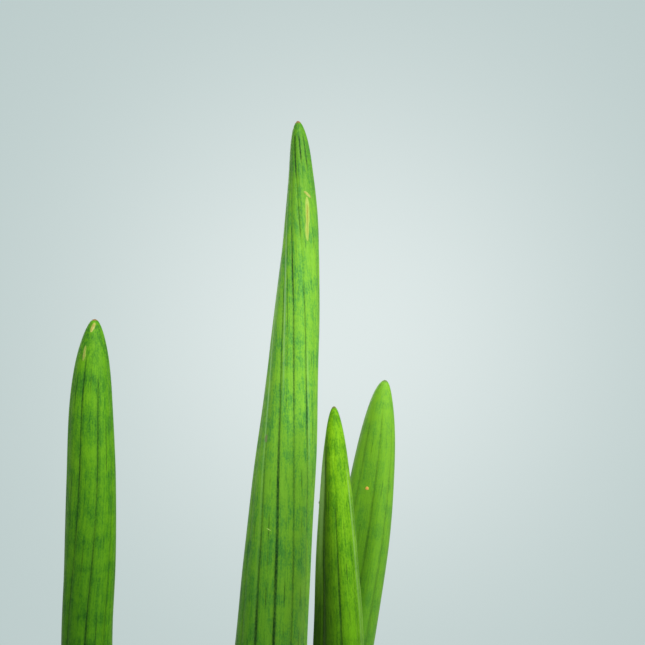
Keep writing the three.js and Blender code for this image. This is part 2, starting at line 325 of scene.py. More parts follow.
class NodeSheet:
    """Adds nodes to one node tree and wires them up."""

    def __init__(self, tree: bpy.types.NodeTree) -> None:
        """Takes the tree to work on."""
        self.tree = tree

    def add(
        self, kind: str, inputs: dict[str | int, object] | None = None, **settings: object
    ) -> bpy.types.Node:
        """Adds a node.

        Args:
            kind: The node's type.
            inputs: What feeds its inputs: a socket to wire, or a fixed value.
            settings: Its other settings.

        Returns:
            The node.
        """
        node = self.tree.nodes.new(kind)
        for name, value in settings.items():
            setattr(node, name, value)
        for name, value in (inputs or {}).items():
            self.feed(node.inputs[name], value)
        return node

    def feed(self, socket: Socket, value: object) -> None:
        """Wires a socket to an input, or sets the input to a fixed value.

        Args:
            socket: The input.
            value: The socket or the value.
        """
        if isinstance(value, bpy.types.NodeSocket):
            self.tree.links.new(value, socket)
        else:
            socket.default_value = value

    def maths(self, operation: str, *values: Socket | float) -> Socket:
        """A Math node's result.

        Args:
            operation: What it does.
            values: Its inputs in order.

        Returns:
            The result's socket.
        """
        return self.add("ShaderNodeMath", dict(enumerate(values)), operation=operation).outputs[0]

    def remap(
        self, value: Socket, low: float, high: float, to_low: float = 0.0, to_high: float = 1.0
    ) -> Socket:
        """Eases a value from one range to another.

        Args:
            value: The value.
            low: The start of its range.
            high: The end of its range.
            to_low: What the start becomes.
            to_high: What the end becomes.

        Returns:
            The eased value's socket.
        """
        inputs = {0: value, 1: low, 2: high, 3: to_low, 4: to_high}
        return self.add("ShaderNodeMapRange", inputs, interpolation_type="SMOOTHSTEP").outputs[0]

    def blend(
        self, share: Socket | float, first: Socket | Colour, second: Socket | Colour, way: str = "MIX"
    ) -> Socket:
        """Mixes two colours.

        Args:
            share: How much of the second.
            first: The first colour.
            second: The second colour.
            way: The way that they mix.

        Returns:
            The mixed colour's socket.
        """
        node = self.add("ShaderNodeMix", {0: share, 6: first, 7: second}, data_type="RGBA", blend_type=way)
        return node.outputs[2]

    def ramp(self, share: Socket, stops: Sequence[tuple[float, Colour]]) -> Socket:
        """Reads a colour off a row of stops.

        Args:
            share: How far along the row.
            stops: Where each stop stands, and its colour.

        Returns:
            The colour's socket.
        """
        node = self.add("ShaderNodeValToRGB", {0: share})
        elements = node.color_ramp.elements
        while len(elements) < len(stops):
            elements.new(0.5)
        for element, (where, colour) in zip(elements, stops):
            element.position = where
            element.color = colour
        return node.outputs[0]

    def value_of(self, name: str) -> Socket:
        """The number that the mesh carries under a name."""
        return self.add("ShaderNodeAttribute", attribute_name=name).outputs["Fac"]

    def place_of(self, name: str) -> Socket:
        """The vector that the mesh carries under a name."""
        return self.add("ShaderNodeAttribute", attribute_name=name).outputs["Vector"]

    def part_of(self, vector: Socket, axis: int) -> Socket:
        """One coordinate of a vector."""
        return self.add("ShaderNodeSeparateXYZ", {0: vector}).outputs[axis]

    def millimetres(self) -> Socket:
        """The place on the object itself, in millimetres."""
        place = self.add("ShaderNodeTexCoord").outputs["Object"]
        inputs = {0: place, 1: (1 / MM, 1 / MM, 1 / MM)}
        return self.add("ShaderNodeVectorMath", inputs, operation="MULTIPLY").outputs[0]

    def effect(self, which: "Effect", **inputs: object) -> dict[str, Socket]:
        """Places a shared effect in the tree.

        Args:
            which: The effect.
            inputs: Its inputs, by name.

        Returns:
            Its outputs, by name.
        """
        node = self.add("ShaderNodeGroup", node_tree=EFFECTS.tree(which))
        for name, value in inputs.items():
            self.feed(node.inputs[name], value)
        return {socket.name: socket for socket in node.outputs}


class Effect(Enum):
    """The effects that more than one finish shares."""

    MOTTLE = "mottle"
    GRAIN = "grain"
    CRUMBS = "crumbs"


class EffectLibrary:
    """Builds each shared effect's node group once, when a finish first asks for it."""

    PIT_EDGES = (0.08, 0.26)  # shares of a cell, and how rare the cells with pits are
    PIT_RARITY = (0.5, 0.6)
    PIT_DEPTH = 0.8
    CRUMB_GRAINS = 2.7  # how many grains lie across a crumb, and how rough they make it
    CRUMB_ROUGHNESS = 0.6

    def __init__(self) -> None:
        """Starts with no group built."""
        self._trees: dict[Effect, bpy.types.NodeTree] = {}

    def tree(self, which: Effect) -> bpy.types.NodeTree:
        """The node group of an effect.

        Args:
            which: The effect.

        Returns:
            Its group, built on the first call.
        """
        if which not in self._trees:
            build = {Effect.MOTTLE: self._mottle, Effect.GRAIN: self._grain, Effect.CRUMBS: self._crumbs}
            self._trees[which] = build[which]()
        return self._trees[which]

    @staticmethod
    def _group(
        name: str, inputs: dict[str, tuple[str, float | None]], outputs: Sequence[str]
    ) -> tuple[NodeSheet, bpy.types.Node, bpy.types.Node]:
        """Starts a node group.

        Args:
            name: The group's name.
            inputs: Each input's socket type and starting value.
            outputs: The names of its outputs, which are all numbers.

        Returns:
            The sheet to build on, and the group's input and output nodes.
        """
        tree = bpy.data.node_groups.new(name, "ShaderNodeTree")
        for label, (kind, start) in inputs.items():
            socket = tree.interface.new_socket(label, in_out="INPUT", socket_type=kind)
            if start is not None:
                socket.default_value = start
        for label in outputs:
            tree.interface.new_socket(label, in_out="OUTPUT", socket_type="NodeSocketFloat")
        sheet = NodeSheet(tree)
        return sheet, sheet.add("NodeGroupInput"), sheet.add("NodeGroupOutput")

    def _mottle(self) -> bpy.types.NodeTree:
        """Soft patches, which can be drawn out along Z."""
        sheet, given, out = self._group(
            "mottle",
            {
                "Place": ("NodeSocketVector", None),
                "Size": ("NodeSocketFloat", 1.0),
                "Stretch": ("NodeSocketFloat", 1.0),
                "Low": ("NodeSocketFloat", 0.4),
                "High": ("NodeSocketFloat", 0.6),
                "Shift": ("NodeSocketFloat", 0.0),
            },
            ["Mask"],
        )
        across = sheet.maths("DIVIDE", 1.0, given.outputs["Size"])
        along = sheet.maths("DIVIDE", across, given.outputs["Stretch"])
        factors = sheet.add("ShaderNodeCombineXYZ", {0: across, 1: across, 2: along}).outputs[0]
        place = sheet.add(
            "ShaderNodeVectorMath", {0: given.outputs["Place"], 1: factors}, operation="MULTIPLY"
        ).outputs[0]
        moved = sheet.add(
            "ShaderNodeVectorMath", {0: place, 1: given.outputs["Shift"]}, operation="ADD"
        ).outputs[0]
        cloud = sheet.add(
            "ShaderNodeTexNoise", {"Vector": moved, "Scale": 1.0, "Detail": 4.0, "Roughness": 0.62}
        ).outputs[0]
        mask = sheet.add(
            "ShaderNodeMapRange",
            {0: cloud, 1: given.outputs["Low"], 2: given.outputs["High"]},
            interpolation_type="SMOOTHSTEP",
        ).outputs[0]
        sheet.feed(out.inputs["Mask"], mask)
        return sheet.tree

    def _grain(self) -> bpy.types.NodeTree:
        """Fine grain with pits, for clay and bark."""
        sheet, given, out = self._group(
            "grain",
            {"Place": ("NodeSocketVector", None), "Size": ("NodeSocketFloat", 1.0)},
            ["Height", "Pits"],
        )
        scale = sheet.maths("DIVIDE", 1.0, given.outputs["Size"])
        cloud = sheet.add(
            "ShaderNodeTexNoise",
            {"Vector": given.outputs["Place"], "Scale": scale, "Detail": 6.0, "Roughness": 0.7},
        ).outputs[0]
        cells = sheet.add("ShaderNodeTexVoronoi", {"Vector": given.outputs["Place"], "Scale": scale})
        pits = sheet.remap(cells.outputs["Distance"], *self.PIT_EDGES, 1.0, 0.0)
        pitted = sheet.maths("MULTIPLY", pits, sheet.remap(cloud, *self.PIT_RARITY))
        sheet.feed(out.inputs["Pits"], pitted)
        sheet.feed(out.inputs["Height"], sheet.maths("MULTIPLY_ADD", pitted, -self.PIT_DEPTH, cloud))
        return sheet.tree

    def _crumbs(self) -> bpy.types.NodeTree:
        """Packed crumbs, each with its own tone."""
        sheet, given, out = self._group(
            "crumbs",
            {"Place": ("NodeSocketVector", None), "Size": ("NodeSocketFloat", 1.0)},
            ["Height", "Tone"],
        )
        scale = sheet.maths("DIVIDE", 1.0, given.outputs["Size"])
        cells = sheet.add("ShaderNodeTexVoronoi", {"Vector": given.outputs["Place"], "Scale": scale})
        tone = sheet.add("ShaderNodeSeparateColor", {0: cells.outputs["Color"]}).outputs[0]
        grains = sheet.maths("MULTIPLY", scale, self.CRUMB_GRAINS)
        cloud = sheet.add(
            "ShaderNodeTexNoise", {"Vector": given.outputs["Place"], "Scale": grains, "Detail": 5.0}
        ).outputs[0]
        dome = sheet.maths("SUBTRACT", 1.0, cells.outputs["Distance"])
        height = sheet.maths("MULTIPLY_ADD", cloud, self.CRUMB_ROUGHNESS, dome)
        sheet.feed(out.inputs["Height"], height)
        sheet.feed(out.inputs["Tone"], tone)
        return sheet.tree


EFFECTS = EffectLibrary()


# ------------------------------------------------------------------------------ finishes


@dataclass(frozen=True)
class Patches:
    """Soft patches on a finish: their size, how far they are drawn out along Z, and their edges."""

    size: float
    stretch: float
    low: float
    high: float
    shift: float = 0.0

    def mask(self, sheet: NodeSheet, place: Socket, shift: float = 0.0) -> Socket:
        """Places the patches in a material.

        Args:
            sheet: The material's node sheet.
            place: The place that they are read at.
            shift: How far the whole finish's patches are moved on.

        Returns:
            Their mask's socket.
        """
        return sheet.effect(
            Effect.MOTTLE,
            Place=place,
            Size=self.size,
            Stretch=self.stretch,
            Low=self.low,
            High=self.high,
            Shift=shift + self.shift,
        )["Mask"]


class Finish:
    """A finish: it wires one material's nodes."""

    def coat(self, sheet: NodeSheet, shader: bpy.types.Node) -> None:
        """Wires this finish into its material.

        Args:
            sheet: The material's node sheet.
            shader: Its Principled shader.
        """
        raise NotImplementedError

    def material(self, name: str) -> bpy.types.Material:
        """Makes the material.

        Args:
            name: The material's name.

        Returns:
            The material.
        """
        made = bpy.data.materials.new(name)
        made.use_nodes = True
        sheet = NodeSheet(made.node_tree)
        self.coat(sheet, made.node_tree.nodes["Principled BSDF"])
        return made

    @staticmethod
    def roughen(sheet: NodeSheet, shader: bpy.types.Node, share: Socket, rough: tuple[float, float]) -> None:
        """Sets how rough the shader is.

        Args:
            sheet: The material's node sheet.
            shader: Its shader.
            share: Where between the two roughnesses each place lies.
            rough: The roughness at 0 and at 1.
        """
        sheet.feed(shader.inputs["Roughness"], sheet.remap(share, 0.0, 1.0, *rough))

    @staticmethod
    def raise_grain(
        sheet: NodeSheet, shader: bpy.types.Node, height: Socket, depth: float, strength: float = 1.0
    ) -> None:
        """Adds a bump to the shader.

        Args:
            sheet: The material's node sheet.
            shader: Its shader.
            height: The bump's height, about 0 to 1.
            depth: How deep a height of 1 is, in millimetres.
            strength: How much of it shows.
        """
        inputs = {"Height": height, "Distance": depth * MM, "Strength": strength}
        sheet.feed(shader.inputs["Normal"], sheet.add("ShaderNodeBump", inputs).outputs[0])


@dataclass(frozen=True)
class LeafSkin(Finish):
    """Waxy skin: dark furrows edged with painted shade, painted highlights on their shoulders, soft cross
    bands, fine streaks and flecks, and painted shade low down and on the side away from the light.

    Its four greens run from bright to dark, and the four kinds of patch choose between them.
    """

    bright: Colour = paint(122, 182, 46)
    mid: Colour = paint(110, 172, 44)
    deep: Colour = paint(82, 152, 54)
    dark: Colour = paint(56, 124, 46)
    # the furrows' own dark colour, also laid as painted shade either side of each line
    furrow: Colour = paint(20, 66, 14)
    # pale: the colour of the painted highlights beside some furrows and of the painted light on the channel's
    # far wall
    pale: Colour = paint(142, 184, 110)
    # painted shade for the channel's lip turned from the light, and for its far wall further down
    shade: Colour = (0.2, 0.24, 0.07, 1.0)
    bloom: Colour = paint(206, 222, 170)
    tip: Colour = paint(150, 92, 74)
    sheath: Colour = paint(196, 206, 140)
    # painted shade for the leaf's foot and its side turned from the key light, also used to darken the top
    # few centimetres
    gloom: Colour = (0.37, 0.5, 0.2, 1.0)
    blotches: Patches = Patches(3.6, 1.7, 0.32, 0.68)
    bands: Patches = Patches(30.0, 0.26, 0.28, 0.72, 5.0)
    streaks: Patches = Patches(0.6, 20.0, 0.34, 0.66, 9.0)
    flecks: Patches = Patches(0.5, 1.7, 0.36, 0.64, 13.0)
    patch_shares: tuple[float, ...] = (0.28, 0.24, 0.25, 0.23)
    green_stops: tuple[float, ...] = (0.24, 0.48, 0.7, 0.94)
    least_furrow: float = 0.72  # how much of a furrow's darkness is left between the flecks
    tip_gloom: float = 0.0  # how dark the top few centimetres are
    tip_darkening_reach: float = 60.0
    tip_reach: float = 0.8
    tip_share: float = 0.8
    sheath_share: float = 0.75  # how pale the skin is where it leaves the mix
    sheath_heights: tuple[float, float] = (0.118, 0.16)
    rough: tuple[float, float] = (0.44, 0.58)
    gloss: float = 0.16
    bloom_share: float = 0.08
    bloom_rough: float = 0.4
    flesh_share: float = 0.1  # how much light passes into the flesh, and how far each colour goes
    flesh_reach: tuple[float, float, float] = (0.0012, 0.002, 0.0004)
    fleck_dip: float = 0.4
    relief: float = 0.07
    relief_share: float = 0.6
    shift: float = 0.0

    def greens(self, sheet: NodeSheet, masks: Sequence[Socket]) -> Socket:
        """The skin's green, before any mark is laid on it.

        Args:
            sheet: The material's node sheet.
            masks: The masks of the four kinds of patch.

        Returns:
            The colour's socket.
        """
        total: Socket | float = 0.0
        for share, mask in zip(self.patch_shares, masks):
            total = sheet.maths("MULTIPLY_ADD", mask, share, total)
        colours = (self.bright, self.mid, self.deep, self.dark)
        return sheet.ramp(total, tuple(zip(self.green_stops, colours)))

    def coat(self, sheet: NodeSheet, shader: bpy.types.Node) -> None:
        """Wires the skin into its material.

        Args:
            sheet: The material's node sheet.
            shader: Its Principled shader.
        """
        place = sheet.place_of("leaf_place")
        kinds = (self.blotches, self.bands, self.streaks, self.flecks)
        masks = [kind.mask(sheet, place, self.shift) for kind in kinds]
        streaks, flecks = masks[2:]
        colour = self.greens(sheet, masks)
        # painted highlights along some furrows' shoulders, and painted light on the channel's far wall
        colour = sheet.blend(sheet.value_of("pale"), colour, self.pale)
        # painted shade on the channel's lip turned from the light, and on its far wall further down
        colour = sheet.blend(sheet.value_of("shade"), colour, self.shade, "MULTIPLY")
        # the furrows' own dark lines and threads, with painted soft shade either side of each line
        broken = sheet.remap(flecks, 0.0, 1.0, self.least_furrow, 1.0)
        colour = sheet.blend(sheet.maths("MULTIPLY", sheet.value_of("furrow"), broken), colour, self.furrow)
        from_tip = sheet.part_of(place, 2)
        # painted shade low on the leaf and on its side turned from the key light, with a plain darkening over
        # the top few centimetres
        high = sheet.remap(from_tip, 0.0, self.tip_darkening_reach, self.tip_gloom, 0.0)
        gloom = sheet.maths("MAXIMUM", sheet.value_of("gloom"), high)
        colour = sheet.blend(gloom, colour, self.gloom, "MULTIPLY")
        height = sheet.part_of(sheet.add("ShaderNodeNewGeometry").outputs["Position"], 2)
        sheathed = sheet.remap(height, *self.sheath_heights, self.sheath_share, 0.0)
        colour = sheet.blend(sheathed, colour, self.sheath)
        dry = sheet.remap(from_tip, self.tip_reach / 4, self.tip_reach, self.tip_share, 0.0)
        sheet.feed(shader.inputs["Base Color"], sheet.blend(dry, colour, self.tip))
        self.roughen(sheet, shader, flecks, self.rough)
        shader.inputs["Specular IOR Level"].default_value = self.gloss
        shader.inputs["Sheen Weight"].default_value = self.bloom_share
        shader.inputs["Sheen Roughness"].default_value = self.bloom_rough
        shader.inputs["Sheen Tint"].default_value = self.bloom
        shader.inputs["Subsurface Weight"].default_value = self.flesh_share
        shader.inputs["Subsurface Radius"].default_value = self.flesh_reach
        shader.inputs["Subsurface Scale"].default_value = 1.0
        relief = sheet.maths("MULTIPLY_ADD", flecks, -self.fleck_dip, streaks)
        self.raise_grain(sheet, shader, relief, self.relief, self.relief_share)


@dataclass(frozen=True)
class ScarTissue(Finish):
    """Healed skin: pale and corky, with a browner line along its middle."""

    edge: Colour
    core: Colour
    core_share: float = 0.7
    grain: Patches = Patches(0.7, 4.0, 0.35, 0.65)
    core_edges: tuple[float, float] = (0.45, 0.95)
    rough: tuple[float, float] = (0.5, 0.75)
    relief: float = 0.12

    def coat(self, sheet: NodeSheet, shader: bpy.types.Node) -> None:
        """Wires the scar into its material.

        Args:
            sheet: The material's node sheet.
            shader: Its Principled shader.
        """
        grain = self.grain.mask(sheet, sheet.millimetres())
        middle = sheet.remap(sheet.value_of("middle"), *self.core_edges)
        core = sheet.maths("MULTIPLY", middle, sheet.remap(grain, 0.0, 1.0, self.core_share, 1.0))
        sheet.feed(shader.inputs["Base Color"], sheet.blend(core, self.edge, self.core))
        self.roughen(sheet, shader, grain, self.rough)
        self.raise_grain(sheet, shader, grain, self.relief)


@dataclass(frozen=True)
class DryScale(Finish):
    """A papery scale leaf: green at its foot, straw above, brown and dry at its edge and tip."""

    foot: Colour = paint(150, 160, 92)
    straw: Colour = paint(196, 178, 122)
    edge: Colour = paint(118, 78, 46)
    vein: Colour = paint(136, 108, 66)
    veins: Patches = Patches(0.5, 26.0, 0.42, 0.62)
    clouds: Patches = Patches(6.0, 1.6, 0.4, 0.66)
    vein_share: float = 0.55
    straw_wander: float = 0.25
    straw_from: tuple[float, float] = (0.35, 0.95)  # shares of its height
    edge_wander: float = 0.16
    edge_from: tuple[float, float] = (0.72, 1.0)  # shares of its half width
    rough: tuple[float, float] = (0.62, 0.8)
    relief: float = 0.2

    def coat(self, sheet: NodeSheet, shader: bpy.types.Node) -> None:
        """Wires the scale into its material.

        Args:
            sheet: The material's node sheet.
            shader: Its Principled shader.
        """
        place = sheet.place_of("scale_place")
        veins, clouds = self.veins.mask(sheet, place), self.clouds.mask(sheet, place)
        rise = sheet.maths("MULTIPLY_ADD", clouds, self.straw_wander, sheet.value_of("rise"))
        colour = sheet.blend(sheet.remap(rise, *self.straw_from), self.foot, self.straw)
        colour = sheet.blend(sheet.maths("MULTIPLY", veins, self.vein_share), colour, self.vein)
        margin = sheet.maths("MULTIPLY_ADD", clouds, self.edge_wander, sheet.value_of("margin"))
        colour = sheet.blend(sheet.remap(margin, *self.edge_from), colour, self.edge)
        sheet.feed(shader.inputs["Base Color"], colour)
        self.roughen(sheet, shader, clouds, self.rough)
        self.raise_grain(sheet, shader, veins, self.relief)


@dataclass(frozen=True)
class FiredClay(Finish):
    """Unglazed fired clay with a mineral bloom at its rim and foot, turning marks and fine pits."""

    light: Colour = paint(206, 134, 98)
    deep: Colour = paint(172, 96, 64)
    bloom: Colour = paint(224, 206, 186)
    damp: Colour = paint(122, 66, 46)
    clouds: Patches = Patches(22.0, 0.7, 0.32, 0.7)
    specks: Patches = Patches(0.8, 1.0, 0.58, 0.72)
    salts: Patches = Patches(9.0, 1.2, 0.5, 0.72)
    turning: Patches = Patches(40.0, 0.03, 0.3, 0.7)
    grain_size: float = 1.3
    bloom_share: float = 0.55
    bloom_wander: float = 26.0
    rim_bloom: tuple[float, ...] = (96.0, 140.0, 0.12, 1.0)  # two heights, and the bloom at each
    foot_bloom: tuple[float, ...] = (8.0, 34.0, 0.8, 0.0)
    turning_share: float = 0.22
    speck_share: float = 0.4
    pit_share: float = 0.5
    most_bloom: float = 0.6
    rough: tuple[float, float] = (0.78, 0.95)
    gloss: float = 0.3
    turning_depth: float = 0.8
    relief: float = 0.16

    def coat(self, sheet: NodeSheet, shader: bpy.types.Node) -> None:
        """Wires the clay into its material.

        Args:
            sheet: The material's node sheet.
            shader: Its Principled shader.
        """
        place = sheet.millimetres()
        kinds = (self.clouds, self.specks, self.salts, self.turning)
        clouds, specks, salts, turning = (kind.mask(sheet, place) for kind in kinds)
        grain = sheet.effect(Effect.GRAIN, Place=place, Size=self.grain_size)
        wander = sheet.maths("MULTIPLY_ADD", clouds, self.bloom_wander, sheet.part_of(place, 2))
        at_rim, at_foot = sheet.remap(wander, *self.rim_bloom), sheet.remap(wander, *self.foot_bloom)
        where = sheet.maths("MULTIPLY", salts, sheet.maths("MAXIMUM", at_rim, at_foot))
        whitening = sheet.maths("MULTIPLY", where, self.bloom_share)
        colour = sheet.blend(clouds, self.light, self.deep)
        colour = sheet.blend(sheet.maths("MULTIPLY", turning, self.turning_share), colour, self.deep)
        colour = sheet.blend(whitening, colour, self.bloom)
        colour = sheet.blend(sheet.maths("MULTIPLY", specks, self.speck_share), colour, self.damp)
        colour = sheet.blend(sheet.maths("MULTIPLY", grain["Pits"], self.pit_share), colour, self.damp)
        sheet.feed(shader.inputs["Base Color"], colour)
        sheet.feed(shader.inputs["Roughness"], sheet.remap(whitening, 0.0, self.most_bloom, *self.rough))
        shader.inputs["Specular IOR Level"].default_value = self.gloss
        relief = sheet.maths("MULTIPLY_ADD", turning, self.turning_depth, grain["Height"])
        self.raise_grain(sheet, shader, relief, self.relief)


@dataclass(frozen=True)
class MixFinish(Finish):
    """Damp peat and fine bark."""

    dark: Colour = paint(44, 31, 24)
    brown: Colour = paint(92, 66, 46)
    clouds: Patches = Patches(14.0, 1.0, 0.35, 0.65)
    cloud_share: float = 0.3
    crumb_size: float = 1.5
    crumb_share: float = 0.7
    rough: tuple[float, float] = (0.8, 0.95)
    relief: float = 0.5

    def coat(self, sheet: NodeSheet, shader: bpy.types.Node) -> None:
        """Wires the mix into its material.

        Args:
            sheet: The material's node sheet.
            shader: Its Principled shader.
        """
        place = sheet.millimetres()
        crumbs = sheet.effect(Effect.CRUMBS, Place=place, Size=self.crumb_size)
        clouds = self.clouds.mask(sheet, place)
        tone = sheet.maths("MULTIPLY", crumbs["Tone"], self.crumb_share)
        share = sheet.maths("MULTIPLY_ADD", clouds, self.cloud_share, tone)
        sheet.feed(shader.inputs["Base Color"], sheet.blend(share, self.dark, self.brown))
        self.roughen(sheet, shader, clouds, self.rough)
        self.raise_grain(sheet, shader, crumbs["Height"], self.relief)


@dataclass(frozen=True)
class BitFinish(Finish):
    """Loose bits: each takes its own tone between two colours, with its own fine grain."""

    first: Colour
    second: Colour
    grain: Patches
    rough: tuple[float, float] = (0.73, 0.85)
    relief: float = 0.15
    grain_share: float = 0.45
    tone_share: float = 0.6

    def coat(self, sheet: NodeSheet, shader: bpy.types.Node) -> None:
        """Wires the bits into their material.

        Args:
            sheet: The material's node sheet.
            shader: Its Principled shader.
        """
        grain = self.grain.mask(sheet, sheet.place_of("bit_place"))
        tone = sheet.maths("MULTIPLY", sheet.value_of("tone"), self.tone_share)
        share = sheet.maths("MULTIPLY_ADD", grain, self.grain_share, tone)
        sheet.feed(shader.inputs["Base Color"], sheet.blend(share, self.first, self.second))
        self.roughen(sheet, shader, grain, self.rough)
        self.raise_grain(sheet, shader, grain, self.relief)


@dataclass(frozen=True)
class StemSkin(Finish):
    """Underground stem or root: fleshy, with rings of brown papery skin along it."""

    flesh: Colour = paint(226, 160, 92)
    skin: Colour = paint(150, 96, 56)
    ring_every: float = 6.5
    ring_edges: tuple[float, float] = (0.55, 1.0)
    ring_wander: float = 0.9
    clouds: Patches = Patches(3.0, 1.0, 0.38, 0.66)
    cloud_share: float = 0.45
    rough: tuple[float, float] = (0.5, 0.8)
    relief: float = 0.3

    def coat(self, sheet: NodeSheet, shader: bpy.types.Node) -> None:
        """Wires the skin into its material.

        Args:
            sheet: The material's node sheet.
            shader: Its Principled shader.
        """
        clouds = self.clouds.mask(sheet, sheet.millimetres())
        run = sheet.maths("MULTIPLY", sheet.value_of("run"), 2 * math.pi / self.ring_every)
        wave = sheet.maths("SINE", sheet.maths("MULTIPLY_ADD", clouds, self.ring_wander, run))
        rings = sheet.remap(wave, *self.ring_edges)
        share = sheet.maths("MAXIMUM", sheet.maths("MULTIPLY", clouds, self.cloud_share), rings)
        sheet.feed(shader.inputs["Base Color"], sheet.blend(share, self.flesh, self.skin))
        self.roughen(sheet, shader, rings, self.rough)
        self.raise_grain(sheet, shader, share, self.relief)


@dataclass(frozen=True)
class PaleFloor(Finish):
    """A pale matt floor that fades out into the pale surroundings."""

    colour: Colour = paint(206, 218, 216)
    shade: Colour = paint(200, 213, 211)
    clouds: Patches = Patches(0.2, 1.0, 0.3, 0.7)
    fade_from: float = 0.42
    fade_to: float = 1.05
    rough: float = 0.9
    gloss: float = 0.15

    def coat(self, sheet: NodeSheet, shader: bpy.types.Node) -> None:
        """Wires the floor into its material.

        Args:
            sheet: The material's node sheet.
            shader: Its Principled shader.
        """
        place = sheet.add("ShaderNodeNewGeometry").outputs["Position"]
        clouds = self.clouds.mask(sheet, place)
        reach = sheet.add("ShaderNodeVectorMath", {0: place}, operation="LENGTH").outputs["Value"]
        sheet.feed(shader.inputs["Base Color"], sheet.blend(clouds, self.colour, self.shade))
        sheet.feed(shader.inputs["Alpha"], sheet.remap(reach, self.fade_from, self.fade_to, 1.0, 0.0))
        shader.inputs["Roughness"].default_value = self.rough
        shader.inputs["Specular IOR Level"].default_value = self.gloss


# ------------------------------------------------------------------------------ leaves


Table = tuple[tuple[float, float], ...]  # distances from a leaf's tip, and the value at each


@dataclass(frozen=True)
class Channel:
    """The hollow along a leaf's upper face, in shares of the leaf's half width."""

    depth: float
    half_width: float
    rise: float = 2.0
    edge: float = 1.4
    fade: float = 70.0  # it runs out over this length towards the tip
    # painted light and shade: how strongly the lip turned from the light is darkened and the far wall
    # lightened, then darkened further down
    shade: float = 0.0  # how much darker the skin is on the lip that is turned from the light

    BEGINS = 4  # the distance from the tip at which it begins
    # the spans over which the channel's painted shade and light come in
    SHADE_FROM = (5, 22)  # distances from the tip over which the shade comes in
    WALL_SHADE_FROM = (30, 80)  # and over which the wall across from the lip falls into it
    LIP_FROM = (80, 90)  # angles round the leaf, in degrees, over which the dark lip begins
    LIP_FADES = 106  # where it starts to fade, and how far that takes, nearer the tip and further down
    LIP_FADE = ((18, 55), (52, 86))
    WALL_FROM, WALL_TO = (28, 42), (82, 90)
    WALL_PAINTED_LIGHT = 0.7

    def painted_tones(self, turn: np.ndarray, from_tip: np.ndarray) -> tuple[np.ndarray, np.ndarray]:
        """The painted shade on the lip turned from the light, and the painted light on the wall across from
        it, which gives way to painted shade further from the tip.

        Args:
            turn: Angles round the leaf.
            from_tip: Distances from the tip.

        Returns:
            The painted shade and the painted light at each place, from 0 to 1.
        """
        angle = np.degrees(np.mod(turn, 2 * np.pi))
        shown = self.shade * smooth_share(from_tip, *self.SHADE_FROM)
        reach = np.clip((angle - self.LIP_FADES) / np.interp(from_tip, *self.LIP_FADE), 0, 1)
        lip = smooth_share(angle, *self.LIP_FROM) * (1 - smooth_share(reach, 0, 1))
        wall = smooth_share(angle, *self.WALL_FROM) * (1 - smooth_share(angle, *self.WALL_TO))
        # the far wall turns to painted shade further from the tip
        sunk = smooth_share(from_tip, *self.WALL_SHADE_FROM)
        return shown * np.maximum(lip, wall * sunk), self.WALL_PAINTED_LIGHT * shown * wall * (1 - sunk)

    def hollow(self, across: np.ndarray, lip: np.ndarray) -> np.ndarray:
        """The hollow's depth.

        Args:
            across: Places across the leaf.
            lip: Where the hollow's lip is.

        Returns:
            The depth at each, from 0 at the lips to 1 in the middle.
        """
        return np.clip(1 - np.abs(across / lip) ** self.rise, 0, 1) ** self.edge


